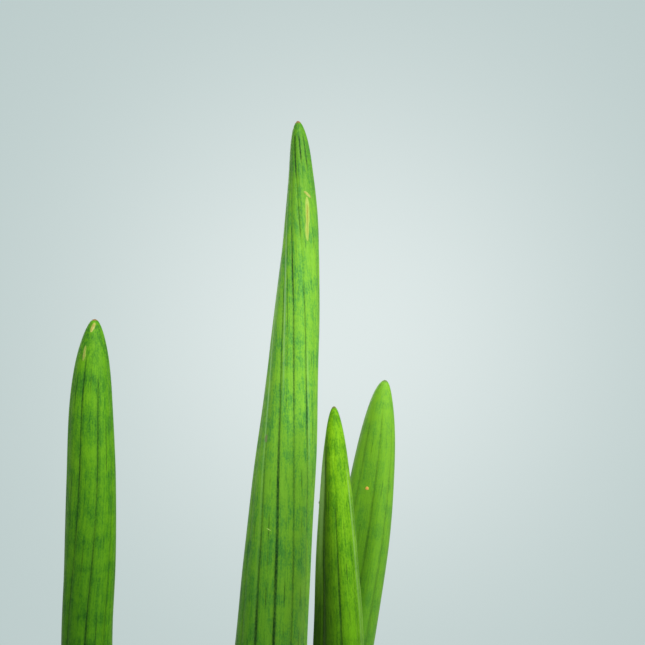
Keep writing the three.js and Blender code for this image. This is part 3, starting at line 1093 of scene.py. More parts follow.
@dataclass(frozen=True)
class Furrows:
    """The dark furrow lines along a leaf, evenly spaced round it, edged with painted shade, with painted
    highlights beside some.
    """

    count: int
    turned: float  # degrees round the leaf to the first of them
    begin: float  # distance from the tip at which the plain ones start
    shown: dict[int, Table] = field(default_factory=dict)  # how dark the others are
    # the pale streaks are painted highlights on the furrows' shoulders
    pale: dict[int, tuple[float, Table]] = field(default_factory=dict)  # where pale streaks run, and how pale
    depth: float = 0.2
    half_line: float = 0.045  # in shares of the gap between two furrows
    least_line: float = 0.17  # and no less than this
    fine: float = 0.8  # how dark the fine threads between the furrows are

    OFFSETS = (0, 0.025, 0.05, 0.075, 0.105, 0.15, 0.22, 0.31, 0.4, 0.45, 0.475, 0.5)
    # the pale streak is a painted highlight, and the furrow's soft shadow is painted shade
    HIGHLIGHT_HALF_WIDTH = 0.06  # half widths, in gaps, of a pale streak, of a furrow's soft shadow and of a thread
    SHADOW = 0.22
    THREAD = 0.04
    SHADOW_DARKNESS = 0.36
    PLAIN_START, PLAIN_RISE, PLAIN_DARKNESS = (1.0, 1.8), 12, (0.3, 0.6)
    THREAD_FROM = (8, 24)
    GROOVE, ROUNDING = (0.35, 0.65), 0.9  # the sharp cut of a pale and of a dark furrow, and the soft one

    def columns(self) -> np.ndarray:
        """The angles of a leaf's mesh columns, closest together at the furrows."""
        gap = 2 * math.pi / self.count
        half = np.array(self.OFFSETS)
        offsets = np.concatenate([-half[-2:0:-1], half])
        return (math.radians(self.turned) + gap * (np.arange(self.count)[:, None] + offsets)).ravel()

    def painted_ridge_highlight(self, which: np.ndarray, aside: np.ndarray, from_tip: np.ndarray) -> np.ndarray:
        """How strong the painted highlights beside the furrows are.

        Args:
            which: The nearest furrow.
            aside: How far aside of it, in gaps between two furrows.
            from_tip: The distance from the tip.

        Returns:
            The painted highlight's strength at each place, from 0 to 1.
        """
        pale = np.zeros(from_tip.shape)
        # each listed furrow gets a painted highlight streak beside it
        for index, (middle, table) in self.pale.items():
            painted_ridge_highlight = np.interp(from_tip, *np.array(table).T)
            painted_streak = painted_ridge_highlight * np.exp(-(((aside - middle) / self.HIGHLIGHT_HALF_WIDTH) ** 2))
            pale = np.where(which == index, painted_streak, pale)
        return pale

    def threads(self, gap: np.ndarray, from_tip: np.ndarray, seed: int) -> np.ndarray:
        """How dark the fine broken threads midway between the furrows are.

        Args:
            gap: Which gap.
            from_tip: The distance from the tip.
            seed: Settles where they break.

        Returns:
            The darkness at each place, from 0 to 1.
        """
        broken = Ripple(seed, 22.0)(from_tip, gap * 17.3) * 1.5 - 0.2
        return np.clip(broken, 0, self.fine) * smooth_share(from_tip, *self.THREAD_FROM)

    def darkness(self, which: np.ndarray, from_tip: np.ndarray, seed: int) -> np.ndarray:
        """How dark the furrows are.

        Args:
            which: Which furrow.
            from_tip: The distance from the tip.
            seed: Settles the plain ones.

        Returns:
            The darkness at each place, from 0 to 1.
        """
        draw = random.Random(seed)
        dark = np.zeros(from_tip.shape)
        for index in range(self.count):
            start = self.begin * draw.uniform(*self.PLAIN_START)
            plain = ((start, 0.0), (start + self.PLAIN_RISE, draw.uniform(*self.PLAIN_DARKNESS)))
            table = np.array(self.shown.get(index, plain)).T
            dark = np.where(which == index, np.interp(from_tip, *table), dark)
        return np.clip(dark * (0.92 + 0.2 * Ripple(seed + 5, 24.0)(from_tip, which * 37.0)), 0, 1.1)


@dataclass(frozen=True)
class Scar:
    """A mark on a leaf's skin: its bearing in plan, its distance from the tip, and its size."""

    name: str
    bearing: float
    from_tip: float
    length: float
    width: float
    finish: Finish
    lift: float = 0.08
    lean: float = 0.0  # how far its lower end lies to the right

    ALONG, ACROSS = 41, 11  # points along and across it
    BLUNT_ENDS = 0.42
    RAGGED = 0.22
    LET_IN = 0.25  # how deep it is let into the skin


@dataclass(frozen=True)
class SpearLeaf:
    """One spear leaf: an almost round blade with a channelled face, furrows and a hard tip."""

    name: str
    node: str
    path: tuple[tuple[float, float, float], ...]
    faces: Table  # the way the channelled face looks in plan
    tip_curve: float
    full_width: float
    shoulder: float
    nose: float
    nose_length: float
    channel: Channel
    furrows: Furrows
    finish: LeafSkin
    seed: int
    scars: tuple[Scar, ...] = ()
    thickness_share: float = 0.92
    base_share: float = 0.55
    base_taper: float = 48.0
    bluntness: float = 0.03
    # painted shade: how dark the foot is, and how much darker the side turned from the key light is
    painted_shade_share: float = 0.66  # how dark its foot is, and how much darker on its shaded side
    painted_shade_slant: float = 0.46
    rings: int = 330

    # the side and the heights of the painted shade
    PAINTED_SHADE_SIDE = (-0.93, -0.36, 0.0)  # the way to the shaded side
    PAINTED_SHADE_DEPTHS = (-340.0, -215.0)  # heights over which the gloom comes in, less than nothing as they fall
    SWELL, WAVE = 0.14, 0.22  # how far the skin stands out, and wanders, and how it does so
    WAVE_LENGTH, WAVE_ROUND = 46.0, 11
    WAVE_FROM = (2.0, 26.0)
    TWIST_REACH = 9  # how far each way the twist is smoothed

    def spine(self) -> Spine:
        """The leaf's centreline, from its base to its tip."""
        return Spine(self.path)

    def half_width(self, from_tip: np.ndarray, length: float) -> np.ndarray:
        """Half of the leaf's width.

        Args:
            from_tip: Distances from the tip.
            length: The leaf's length.

        Returns:
            The half width at each.
        """
        bend_at = (self.full_width / self.tip_curve) ** 2
        blunt = 1 + self.nose * np.exp(-((from_tip / self.nose_length) ** 2))
        flattening = (1 + (from_tip / bend_at) ** self.shoulder) ** (0.5 / self.shoulder)
        outline = blunt * self.tip_curve * np.sqrt(from_tip) / flattening
        risen = smooth_share(length - from_tip, 0, self.base_taper)
        return outline * (self.base_share + (1 - self.base_share) * risen) / 2

    def facing(self, from_tip: np.ndarray) -> np.ndarray:
        """The way the channelled face looks in plan, in radians, with its twist smoothed."""
        table = np.array(self.faces)
        steps = np.linspace(-self.TWIST_REACH, self.TWIST_REACH, 7)
        return np.radians(np.mean([np.interp(from_tip + step, *table.T) for step in steps], axis=0))

    def marks(self, turn: np.ndarray, from_tip: np.ndarray) -> dict[str, np.ndarray]:
        """What the furrows do at each place.

        Args:
            turn: Angles round the leaf.
            from_tip: Distances from the tip.

        Returns:
            The cut in millimetres, and how dark and how pale the skin is, from 0 to 1.
        """
        rows = self.furrows
        phase = (turn - math.radians(rows.turned)) * rows.count / (2 * math.pi)
        nearest = np.round(phase)
        which = nearest.astype(int) % rows.count
        aside = phase - nearest
        dark = rows.darkness(which, from_tip, self.seed)
        thread = rows.threads(np.floor(phase).astype(int) % rows.count, from_tip, self.seed + 9)
        gap_width = 2 * np.pi * self.half_width(from_tip, self.spine().length) / rows.count
        half_line = np.maximum(rows.half_line, rows.least_line / np.maximum(gap_width, 0.5))
        line = np.clip(1.7 - np.abs(aside) / (half_line * (0.5 + 0.6 * dark)), 0, 1)
        # painted soft shade either side of each furrow line
        shadow = rows.SHADOW_DARKNESS * (1 - smooth_share(np.abs(aside), 0.0, rows.SHADOW))
        between = np.clip(1.2 - (0.5 - np.abs(aside)) / rows.THREAD, 0, 1)
        # painted shade on one lip of the channel and painted light on its far wall
        lip_painted_shade, wall_painted_light = self.channel.painted_tones(turn, from_tip)
        valley = 1 - np.sin(np.pi * np.abs(aside))
        groove = rows.GROOVE[0] + rows.GROOVE[1] * dark
        return {
            "cut": rows.depth * (groove * valley**5 + rows.ROUNDING * valley),
            # the furrows' own dark lines and threads, with painted shade either side of each line
            "furrow": np.clip(np.maximum(dark * np.maximum(line, shadow), thread * between), 0, 1),
            # painted highlights beside the furrows and painted light on the channel's far wall
            "pale": np.maximum(rows.painted_ridge_highlight(which, aside, from_tip), wall_painted_light),
            "shade": lip_painted_shade,
        }

    def place(
        self, turn: np.ndarray, from_tip: np.ndarray, lift: np.ndarray | float = 0.0
    ) -> tuple[np.ndarray, dict[str, np.ndarray]]:
        """Finds places on the leaf's skin, or off it.

        Args:
            turn: Angles round the leaf, with the channel's middle at a quarter turn.
            from_tip: Distances from the tip, in the same shape.
            lift: How far the places stand off the skin.

        Returns:
            The points, and the values that the skin's finish reads there.
        """
        turn, from_tip = np.broadcast_arrays(turn, from_tip)
        spine = self.spine()
        half = self.half_width(from_tip, spine.length)
        half_w, half_t = half + lift, half * self.thickness_share + lift
        marks = self.marks(turn, from_tip)
        ring = self.WAVE_ROUND * np.cos(turn), self.WAVE_ROUND * np.sin(turn)
        wave = self.SWELL + self.WAVE * Ripple(self.seed + 21, self.WAVE_LENGTH)(from_tip, *ring)
        swell = (wave - marks.pop("cut")) * smooth_share(from_tip, *self.WAVE_FROM)
        hollow = self.channel.hollow(np.cos(turn), self.channel.half_width * half / half_w)
        hollow = hollow * (np.sin(turn) > 0) * smooth_share(from_tip, self.channel.BEGINS, self.channel.fade)
        across = (half_w + swell) * np.cos(turn)
        out = (half_t + swell) * np.sin(turn) - self.channel.depth * half * hollow
        along = spine.heading(spine.length - from_tip)
        angle = self.facing(from_tip)
        facing = np.stack([np.cos(angle), np.sin(angle), np.zeros_like(angle)], -1)
        facing = unit(facing - np.sum(facing * along, -1, keepdims=True) * along)
        sideways = np.cross(facing, along)
        centre = spine.at(spine.length - from_tip)
        points = centre + across[..., None] * sideways + out[..., None] * facing
        # painted shade: darker low down and on the side turned from the key light
        side = (points - centre) @ np.array(self.PAINTED_SHADE_SIDE) / half
        gloom = smooth_share(-points[..., 2], *self.PAINTED_SHADE_DEPTHS)
        gloom = gloom * np.clip(self.painted_shade_share + self.painted_shade_slant * side, 0, 1)
        return points, {"leaf_place": np.stack([across, out, from_tip], -1), "gloom": gloom, **marks}

    def blade(self) -> Form:
        """The leaf's blade as a closed form."""
        left = np.linspace(1, 0, self.rings)
        length = self.spine().length
        from_tip = np.maximum(self.bluntness, length * left**2 * (2 - left))
        turn, distance = np.meshgrid(self.furrows.columns(), from_tip)
        points, values = self.place(turn, distance)
        return skinned(points, values)

    def scar_form(self, scar: Scar) -> Form:
        """A scar as a thin domed form, let into the leaf's skin.

        Args:
            scar: The scar.

        Returns:
            The form, with "middle", which is 1 along its middle line.
        """
        side = np.linspace(-1, 1, scar.ACROSS)
        u, v = np.meshgrid(
            np.linspace(-1, 1, scar.ALONG), np.concatenate([side, side[::-1]]), indexing="ij"
        )
        top = np.broadcast_to(np.repeat([1.0, 0.0], scar.ACROSS), u.shape)
        distance = scar.from_tip + u * scar.length / 2
        taper = (1 - 0.985 * u**2) ** scar.BLUNT_ENDS
        taper = taper * (1 + scar.RAGGED * Ripple(len(scar.name) + 3, 0.9)(u, v * 0.4))
        aside = v * taper * scar.width / 2 + scar.lean * u / 2
        radius = self.half_width(distance, self.spine().length)
        turn = math.radians(scar.bearing + 90) - self.facing(distance) + aside / radius
        dome = (1 - v**2) * (1 - 0.9 * u**2) ** 0.5
        lift = np.where(top > 0, 0.02 + scar.lift * dome, -scar.LET_IN)
        points, _ = self.place(turn, distance, lift)
        return skinned(points, {"middle": (1 - np.abs(v)) * (1 - u**4)})

    def build(self) -> list[bpy.types.Object]:
        """Makes the leaf and its scars.

        Returns:
            The pieces, riding on the pot's body.
        """
        blade = self.blade().piece(self.name, self.finish.material(self.name + "_skin"))
        made = [mounted(blade, "leaf", self.node)]
        for scar in self.scars:
            piece = self.scar_form(scar).piece(scar.name, scar.finish.material(scar.name + "_tissue"))
            made.append(mounted(piece, "leaf"))
        return made

    def covers(self, points: np.ndarray, margin: float) -> np.ndarray:
        """Tells which points lie in the leaf or close round it.

        Args:
            points: The points.
            margin: How close counts.

        Returns:
            True for each point that does.
        """
        spine = self.spine()
        distance = spine.distance_at_height(points[:, 2])
        reach = self.half_width(spine.length - distance, spine.length) + margin
        centre = spine.at(distance)
        return np.hypot(points[:, 0] - centre[:, 0], points[:, 1] - centre[:, 1]) < reach


def mounted(piece: bpy.types.Object, slot: str, *nodes: str) -> bpy.types.Object:
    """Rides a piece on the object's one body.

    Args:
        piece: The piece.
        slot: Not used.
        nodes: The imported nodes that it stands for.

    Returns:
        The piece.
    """
    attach(piece, BODY)
    if nodes:
        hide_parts(*nodes)
    return piece


@dataclass(frozen=True)
class ScaleLeaf:
    """A dry scale leaf wrapped round the back of a spear leaf's base."""

    name: str
    leaf: SpearLeaf
    turned: float
    bottom: float
    top: float
    half_spread: float
    stand: float
    seed: int
    thickness: float = 0.75
    across: int = 61
    rows: int = 90

    LEAST_SPREAD = 3.0  # degrees, at its tip
    DRY_TIP, CURLED_TIP = (0.86, 1.0), (0.82, 1.0)  # shares of its height
    EDGE_HUG, EDGE_THINNING = 0.45, 0.68  # how much closer and thinner its edge is
    TIP_FLARE, WAVE = 0.9, 0.25
    RIB, RIBS = 0.07, 34
    LEAST_GAP = 0.3

    def form(self) -> Form:
        """The scale as a closed thin shell.

        Returns:
            The form, with its place, its rise from 0 to 1 and its margin, which is 1 at the edge.
        """
        rise = np.linspace(0, 1, self.rows)
        side = np.linspace(-1, 1, self.across)
        ring = np.concatenate([side, side[::-1]])
        outer = np.repeat([1.0, 0.0], self.across)
        u, v = np.meshgrid(rise, ring, indexing="ij")
        layer = np.broadcast_to(outer, u.shape)
        ragged = 1 + 0.05 * Ripple(self.seed, 0.16)(u + 0 * v) * (v**2)
        spread = np.maximum(self.LEAST_SPREAD, self.half_spread * (1 - u**2.2) ** 0.8)
        spread = np.radians(spread) * ragged
        turn = math.radians(-90 + self.turned) + v * spread
        height = self.bottom + (self.top - self.bottom) * u
        spine = self.leaf.spine()
        from_tip = spine.length - spine.distance_at_height(height)
        edge = np.maximum(np.abs(v) ** 3, smooth_share(u, *self.DRY_TIP))
        hug = self.stand * (1 - self.EDGE_HUG * np.abs(v) ** 4)
        wave = self.WAVE * Ripple(self.seed + 2, 0.5)(u, v * 0.6) * np.abs(v)
        flare = self.TIP_FLARE * smooth_share(u, *self.CURLED_TIP) + wave
        thick = self.thickness * (1 - self.EDGE_THINNING * edge)
        ribs = self.RIB * np.cos(v * self.RIBS) * (1 - edge)
        lift = np.maximum(self.LEAST_GAP, hug + flare) + layer * (thick + ribs)
        points, _ = self.leaf.place(turn, from_tip, lift)
        radius = self.leaf.half_width(from_tip, spine.length)
        place = np.stack([v * spread * radius, 0 * v, height], -1)
        return skinned(points, {"scale_place": place, "rise": u, "margin": edge})

    def build(self, finish: DryScale) -> bpy.types.Object:
        """Makes the scale.

        Args:
            finish: Its finish.

        Returns:
            The piece.
        """
        piece = self.form().piece(self.name + "_husk", finish.material(self.name + "_paper"))
        return mounted(piece, "scale_leaf", self.name)


# ------------------------------------------------------------------------------ the plant


def worn(edge: Sequence[int], core: Sequence[int], core_share: float = 0.7) -> ScarTissue:
    """The healed skin of a scar.

    Args:
        edge: The colour of its edge, as three numbers up to 255.
        core: The colour of its middle.
        core_share: How strongly its middle shows.

    Returns:
        The finish.
    """
    return ScarTissue(paint(*edge), paint(*core), core_share)


def plant_leaves() -> dict[str, SpearLeaf]:
    """The four spear leaves.

    Returns:
        Each leaf by its node.
    """
    left = SpearLeaf(
        name="spear_left",
        node="leaf_left",
        path=(
            (-42, -4, 88), (-43.5, -4.5, 114), (-45.8, -5.8, 175), (-46.3, -7, 236.7),
            (-45, -9, 266), (-44.3, -11, 294), (-44.35, -12, 321.4), (-43.0, -12, 349.2),
        ),
        faces=((14, 105), (28, 103.5), (63, 94.5), (98, 79), (112, 75.5), (180, 62), (265, 50)),
        tip_curve=3.22,
        full_width=18.8,
        shoulder=1.6,
        nose=-0.07,
        nose_length=9,
        channel=Channel(0.75, 0.5),
        furrows=Furrows(
            count=8,
            turned=-120,
            begin=9,
            shown={
                0: ((11, 0), (13, 0.5), (20, 0.95), (50, 0.9), (66, 0.95), (80, 0.55), (110, 0.7)),
                1: ((19, 0), (21, 0.8), (50, 0.95), (75, 0.6), (92, 0.95), (110, 1)),
                2: ((6, 0), (8, 0.5), (25, 0.3), (60, 0.2), (90, 0.5)),
            },
            half_line=0.036,
            least_line=0.15,
        ),
        # a darker copy of the leaf skin, partly the leaf's own deeper green and partly painted shade for its
        # greater distance from the key light
        finish=LeafSkin(
            bright=paint(98, 156, 20),
            mid=paint(84, 144, 18),
            deep=paint(62, 124, 24),
            dark=paint(42, 98, 22),
            gloss=0.11,
            shift=3.0,
        ),
        seed=11,
        painted_shade_share=0.9,
        scars=(
            Scar("scar_left_tip", -94, 2.9, 3.4, 1.3, worn((156, 168, 66), (160, 142, 66)), lean=-0.9),
            Scar("scar_left_side", -116, 11.8, 5.2, 1.2, worn((126, 156, 44), (146, 152, 64))),
        ),
    )
    tall = SpearLeaf(
        name="spear_tall",
        node="leaf_tall",
        path=(
            (5.5, -1, 88), (7.3, -1, 114), (12.3, -1.5, 176), (17.3, -1, 235.7), (20.1, -2, 272.8),
            (23.5, -2, 314.7), (26.6, 0, 356.6), (27.8, 2, 381.9), (27.4, 5, 405.3),
            (26.5, 6, 419.2),
        ),
        faces=(
            (0, 27), (10, 29), (25, 40), (41.7, 57), (48.6, 63), (63, 78.5), (98, 98.5),
            (143.5, 118), (183, 125.5), (260, 133), (332, 137),
        ),
        tip_curve=1.9,
        full_width=32,
        shoulder=6,
        nose=0.27,
        nose_length=15,
        channel=Channel(0.75, 0.5),
        furrows=Furrows(
            count=12,
            turned=-90,
            begin=34,
            shown={
                0: (
                    (16, 0), (17, 0.6), (20, 0.6), (22, 0), (37, 0), (40, 0.75), (47, 0.75),
                    (50, 1), (58, 0.95), (66, 0.8), (98, 0.7), (112, 0.45), (180, 0.6),
                ),
                1: (
                    (5, 0), (6, 1), (20.2, 1), (22.2, 0), (31, 0), (32, 0.6), (41, 0.6), (43, 0),
                    (57, 0), (60, 0.5), (100, 0.8), (140, 0.35),
                ),
                2: ((5, 0), (6, 1), (14, 1), (16, 0)),
                3: ((5, 0), (6, 0.9), (16, 0.9), (19, 0), (44, 0), (48, 0.5)),
                10: ((100, 0), (130, 0.5), (160, 0.85)),
                11: ((50, 0), (62, 0.5), (90, 0.7), (110, 0.95), (130, 1.1), (180, 1.1)),
            },
            half_line=0.06,
            # painted highlights beside furrows 1, 10 and 11
            pale={
                1: (0.14, ((76, 0), (86, 0.26), (116, 0.26), (126, 0))),
                10: (-0.12, ((50, 0), (64, 0.8), (100, 0.65), (116, 0.35), (140, 0.12), (190, 0.1))),
                11: (0.24, ((34, 0), (42, 1), (62, 0.9), (90, 0.35), (105, 0))),
            },
        ),
        # pale is the colour of this leaf's painted highlights
        finish=LeafSkin(pale=paint(158, 202, 138), tip_gloom=0.75, tip_reach=1.3, shift=8.0),
        seed=23,
        thickness_share=0.97,
        painted_shade_share=0.53,
        painted_shade_slant=0.8,
        scars=(
            Scar("scar_tall", -69, 35.9, 15.4, 1.6, worn((152, 180, 66), (146, 142, 34), 0.35), lift=0.07),
            Scar("scar_tall_hook", -65, 27.3, 2.3, 1.5, worn((158, 174, 74), (164, 168, 74)), lean=2.1),
            Scar("speck_tall", -108, 143.0, 0.8, 0.7, worn((150, 190, 84), (160, 196, 96)), lean=1.6),
            Scar("smudge_tall", -135, 112.4, 2.8, 1.2, worn((112, 136, 76), (122, 128, 82)), lift=0.04),
        ),
    )
    short = SpearLeaf(
        name="spear_short",
        node="leaf_short",
        path=(
            (38, -19, 88), (38.5, -20, 114), (40.2, -23, 175), (40.65, -25, 240),
            (40.3, -24.5, 262), (39.85, -23, 283), (39.6, -22, 298), (39.1, -20, 319.6),
        ),
        faces=((0, 192), (90, 209.5), (150, 214.5), (235, 217.5)),
        tip_curve=2.2,
        full_width=20.7,
        shoulder=3,
        nose=-0.02,
        nose_length=9,
        # the channel's painted shade and light at full strength
        channel=Channel(0.32, 0.5, rise=1.25, edge=1.2, fade=26, shade=1.0),
        furrows=Furrows(
            count=8,
            turned=157.1,
            begin=24,
            shown={
                0: ((31, 0), (36, 0.7), (60, 0.9), (84, 1)),
                1: ((40, 0), (50, 0.2), (84, 0.4)),
            },
            # a painted highlight beside furrow 1
            pale={1: (0.26, ((18, 0), (28, 0.9), (60, 0.8), (84, 0.6), (100, 0)))},
        ),
        finish=LeafSkin(
            bright=paint(130, 188, 22),
            mid=paint(114, 172, 14),
            deep=paint(88, 150, 14),
            dark=paint(60, 118, 8),
            # pale is the colour of this leaf's painted highlights and painted light
            pale=paint(150, 186, 116),
            tip=paint(112, 88, 62),
            tip_reach=1.0,
            gloss=0.08,
            shift=14.0,
        ),
        seed=37,
        painted_shade_share=1.17,
        scars=(Scar("fleck_short", 166, 32.4, 0.8, 0.6, worn((70, 60, 36), (52, 44, 30)), lift=0.2),),
    )
    rear = SpearLeaf(
        name="spear_rear",
        node="leaf_rear",
        path=(
            (14.5, 16.5, 88), (19, 19, 114), (31, 26, 172), (43.2, 31, 229.5), (49.8, 31, 264.4),
            (53.4, 30, 290.2), (55.2, 29, 304.2), (57.1, 27, 321.2), (58.1, 26, 327),
        ),
        faces=((0, 255), (25, 254), (57, 247), (100, 243), (240, 240)),
        tip_curve=2.9,
        full_width=24.7,
        shoulder=1.6,
        nose=0,
        nose_length=18,
        channel=Channel(0.36, 0.9, edge=1.8),
        furrows=Furrows(
            count=8,
            turned=111,
            begin=7,
            shown={0: ((7, 0), (14, 0.3), (50, 0.4), (100, 0.5)), 1: ((10, 0), (20, 0.25), (60, 0.35))},
            depth=0.15,
            half_line=0.08,
            fine=0.4,
        ),
        finish=LeafSkin(
            bright=paint(124, 182, 40),
            mid=paint(117, 176, 42),
            deep=paint(102, 164, 46),
            dark=paint(84, 148, 44),
            tip=paint(110, 128, 74),
            shift=21.0,
        ),
        seed=41,
        painted_shade_share=0.97,
        painted_shade_slant=0.3,
        scars=(Scar("fleck_rear", -107.5, 39.8, 1.2, 1.3, worn((236, 176, 78), (240, 170, 84)), lift=0.12),),
    )
    return {leaf.node: leaf for leaf in (left, tall, short, rear)}


def plant_scales(leaves: dict[str, SpearLeaf]) -> list[ScaleLeaf]:
    """The six scale leaves.

    Args:
        leaves: The spear leaves that they wrap.

    Returns:
        The scale leaves.
    """
    left, tall = leaves["leaf_left"], leaves["leaf_tall"]
    short, rear = leaves["leaf_short"], leaves["leaf_rear"]
    return [
        ScaleLeaf("scale_left_outer", left, 8, 95, 141, 105, 2.3, 51),
        ScaleLeaf("scale_left_inner", left, -12, 93, 158, 92, 0.9, 52),
        ScaleLeaf("scale_tall", tall, 6, 93, 152, 80, 0.9, 53),
        ScaleLeaf("scale_rear", rear, -10, 95, 146, 80, 0.9, 54),
        ScaleLeaf("scale_short_outer", short, -8, 95, 138, 105, 2.3, 55),
        ScaleLeaf("scale_short_inner", short, 14, 93, 161, 92, 0.9, 56),
    ]


@dataclass(frozen=True)
class Rhizome:
    """The creeping stem that the shoots rise from, and its roots."""

    path: tuple[tuple[float, float, float], ...] = (
        (-53, -7, 79), (-42, -4, 80.5), (-17, 3, 78.5), (11, 8, 80), (26, 0, 79), (38, -19, 80.5),
        (44, -30, 79),
    )
    radius: float = 6.8
    swelling: float = 2.6
    swelling_length: float = 9.0
    ring_every: float = 6.5
    roots: tuple[tuple[float, float, float, float], ...] = (
        (0.04, 325, 18, 50), (0.13, 60, 26, 44), (0.2, 285, 28, 57), (0.36, 78, 38, 50),
        (0.46, 250, 34, 40), (0.56, 65, 30, 58), (0.66, 20, 26, 46), (0.82, 352, 12, 34),
        (0.94, 165, 17, 56),
    )
    rootlets: int = 9

    RINGING, BUMPS = 0.28, 0.25  # how high the scale rings and the bumps stand, in millimetres
    PLUMP = 0.35  # how much is taken off all round to make up for them
    ROOT_COURSE = ((0, 0, 0), (0.45, 0.2, 1.0), (0.85, 0.55, -1.2), (1, 1, 3.0))  # out, down and aside
    ROOT_WOBBLE = 0.12
    ROOTLET_BOUNDS = 40  # the furthest a rootlet may reach from the pot's axis

    def stem(self, shoots: np.ndarray) -> Form:
        """The stem, ringed where old scales were and swollen under each shoot.

        Args:
            shoots: The points where the shoots rise.

        Returns:
            The closed form.
        """
        spine = Spine(self.path)

        def radii(share: np.ndarray) -> np.ndarray:
            """The stem's radius along and round it."""
            here = spine.at(share * spine.length)
            gaps = np.hypot(here[..., None, 0] - shoots[:, 0], here[..., None, 1] - shoots[:, 1])
            swollen = self.swelling * np.exp(-((gaps.min(-1) / self.swelling_length) ** 2))
            ends = smooth_share(np.minimum(share, 1 - share), -0.03, 0.06)
            ringing = self.RINGING * np.abs(np.sin(share * spine.length * math.pi / self.ring_every)) ** 0.4
            angle = np.linspace(0, 2 * np.pi, share.shape[1], endpoint=False)
            bumps = self.BUMPS * Ripple(61, 9.0)(share * spine.length, 6 * np.cos(angle), 6 * np.sin(angle))
            return (self.radius + swollen) * ends - self.PLUMP + ringing + bumps * ends

        return tube(spine, radii, 64, 260)

    def root(self, index: int) -> Form:
        """One main root with its rootlets.

        Args:
            index: Which root.

        Returns:
            The form.
        """
        along, heading, reach, drop = self.roots[index]
        stem = Spine(self.path)
        start = stem.at(along * stem.length)
        angle = math.radians(heading)
        outwards = np.array([math.cos(angle), math.sin(angle), 0.0])
        sideways = np.array([-outwards[1], outwards[0], 0.0])
        down = np.array([0.0, 0.0, -1.0])
        course = self.ROOT_COURSE
        points = [start + outwards * reach * o + sideways * s + down * drop * d for o, d, s in course]
        main = Spine(points)
        wobble = Ripple(70 + index, 7.0)

        def radii(share: np.ndarray) -> np.ndarray:
            """The root's radius along it."""
            return 1.9 - share + self.ROOT_WOBBLE * wobble(share * main.length)

        forms = [tube(main, radii, 14, 90)]
        draw = random.Random(80 + index)
        for _ in range(self.rootlets):
            where = draw.uniform(0.25, 0.97) * main.length
            foot = main.at(where)
            bearing = draw.uniform(0, 2 * math.pi)
            away = np.array([math.cos(bearing), math.sin(bearing), -draw.uniform(0.2, 1.1)])
            ahead = foot[:2] + away[:2] * 9
            if np.dot(ahead, ahead) > self.ROOTLET_BOUNDS**2:
                away[:2] = -foot[:2] / np.linalg.norm(foot[:2])
            length = draw.uniform(5, 10)
            bend = np.array([draw.gauss(0, 1.2) for _ in range(3)])
            fine = Spine([foot, foot + away * length * 0.5 + bend, foot + away * length])
            forms.append(tube(fine, lambda share: 0.34 - 0.2 * share, 6, 12))
        return Form.merged(forms)

    def build(self, leaves: dict[str, SpearLeaf]) -> list[bpy.types.Object]:
        """Makes the rhizome and its roots.

        Args:
            leaves: The leaves that rise from it.

        Returns:
            The pieces.
        """
        shoots = np.array([leaf.path[0] for leaf in leaves.values()], float)
        stem = self.stem(shoots).piece("rhizome_stem", StemSkin().material("rhizome_skin"))
        made = [mounted(stem, "rhizome", "rhizome")]
        skin = StemSkin(paint(226, 212, 178), paint(176, 146, 104), 3.1).material("root_skin")
        for index in range(len(self.roots)):
            piece = self.root(index).piece(f"root_strand_{index + 1}", skin)
            made.append(mounted(piece, "root", f"root_{index + 1}"))
        return made


# ------------------------------------------------------------------------------ pot and mix


def rounded(corners: Sequence[tuple[float, float, float]], spacing: float) -> np.ndarray:
    """A closed outline with its corners rounded and its straights split up.

    Args:
        corners: Each corner's radius from the axis, height, and rounding.
        spacing: The longest step along a straight.

    Returns:
        The outline's points, as radius and height.
    """
    points = np.array([corner[:2] for corner in corners])
    count = len(points)
    line: list[np.ndarray] = []
    for i, (_, _, rounding) in enumerate(corners):
        here, before, after = points[i], points[i - 1], points[(i + 1) % count]
        back, on = unit(before - here), unit(after - here)
        reach = min(rounding, np.linalg.norm(before - here) * 0.49, np.linalg.norm(after - here) * 0.49)
        before_turn, after_turn = here + back * reach, here + on * reach
        for t in np.linspace(0, 1, 7 if rounding > 0.5 else 4):
            line.append((1 - t) ** 2 * before_turn + 2 * t * (1 - t) * here + t**2 * after_turn)
    dense: list[np.ndarray] = []
    for here, after in zip(line, line[1:] + line[:1]):
        splits = max(1, int(np.linalg.norm(after - here) / spacing))
        dense.extend(here + (after - here) * k / splits for k in range(splits))
    return np.array(dense)


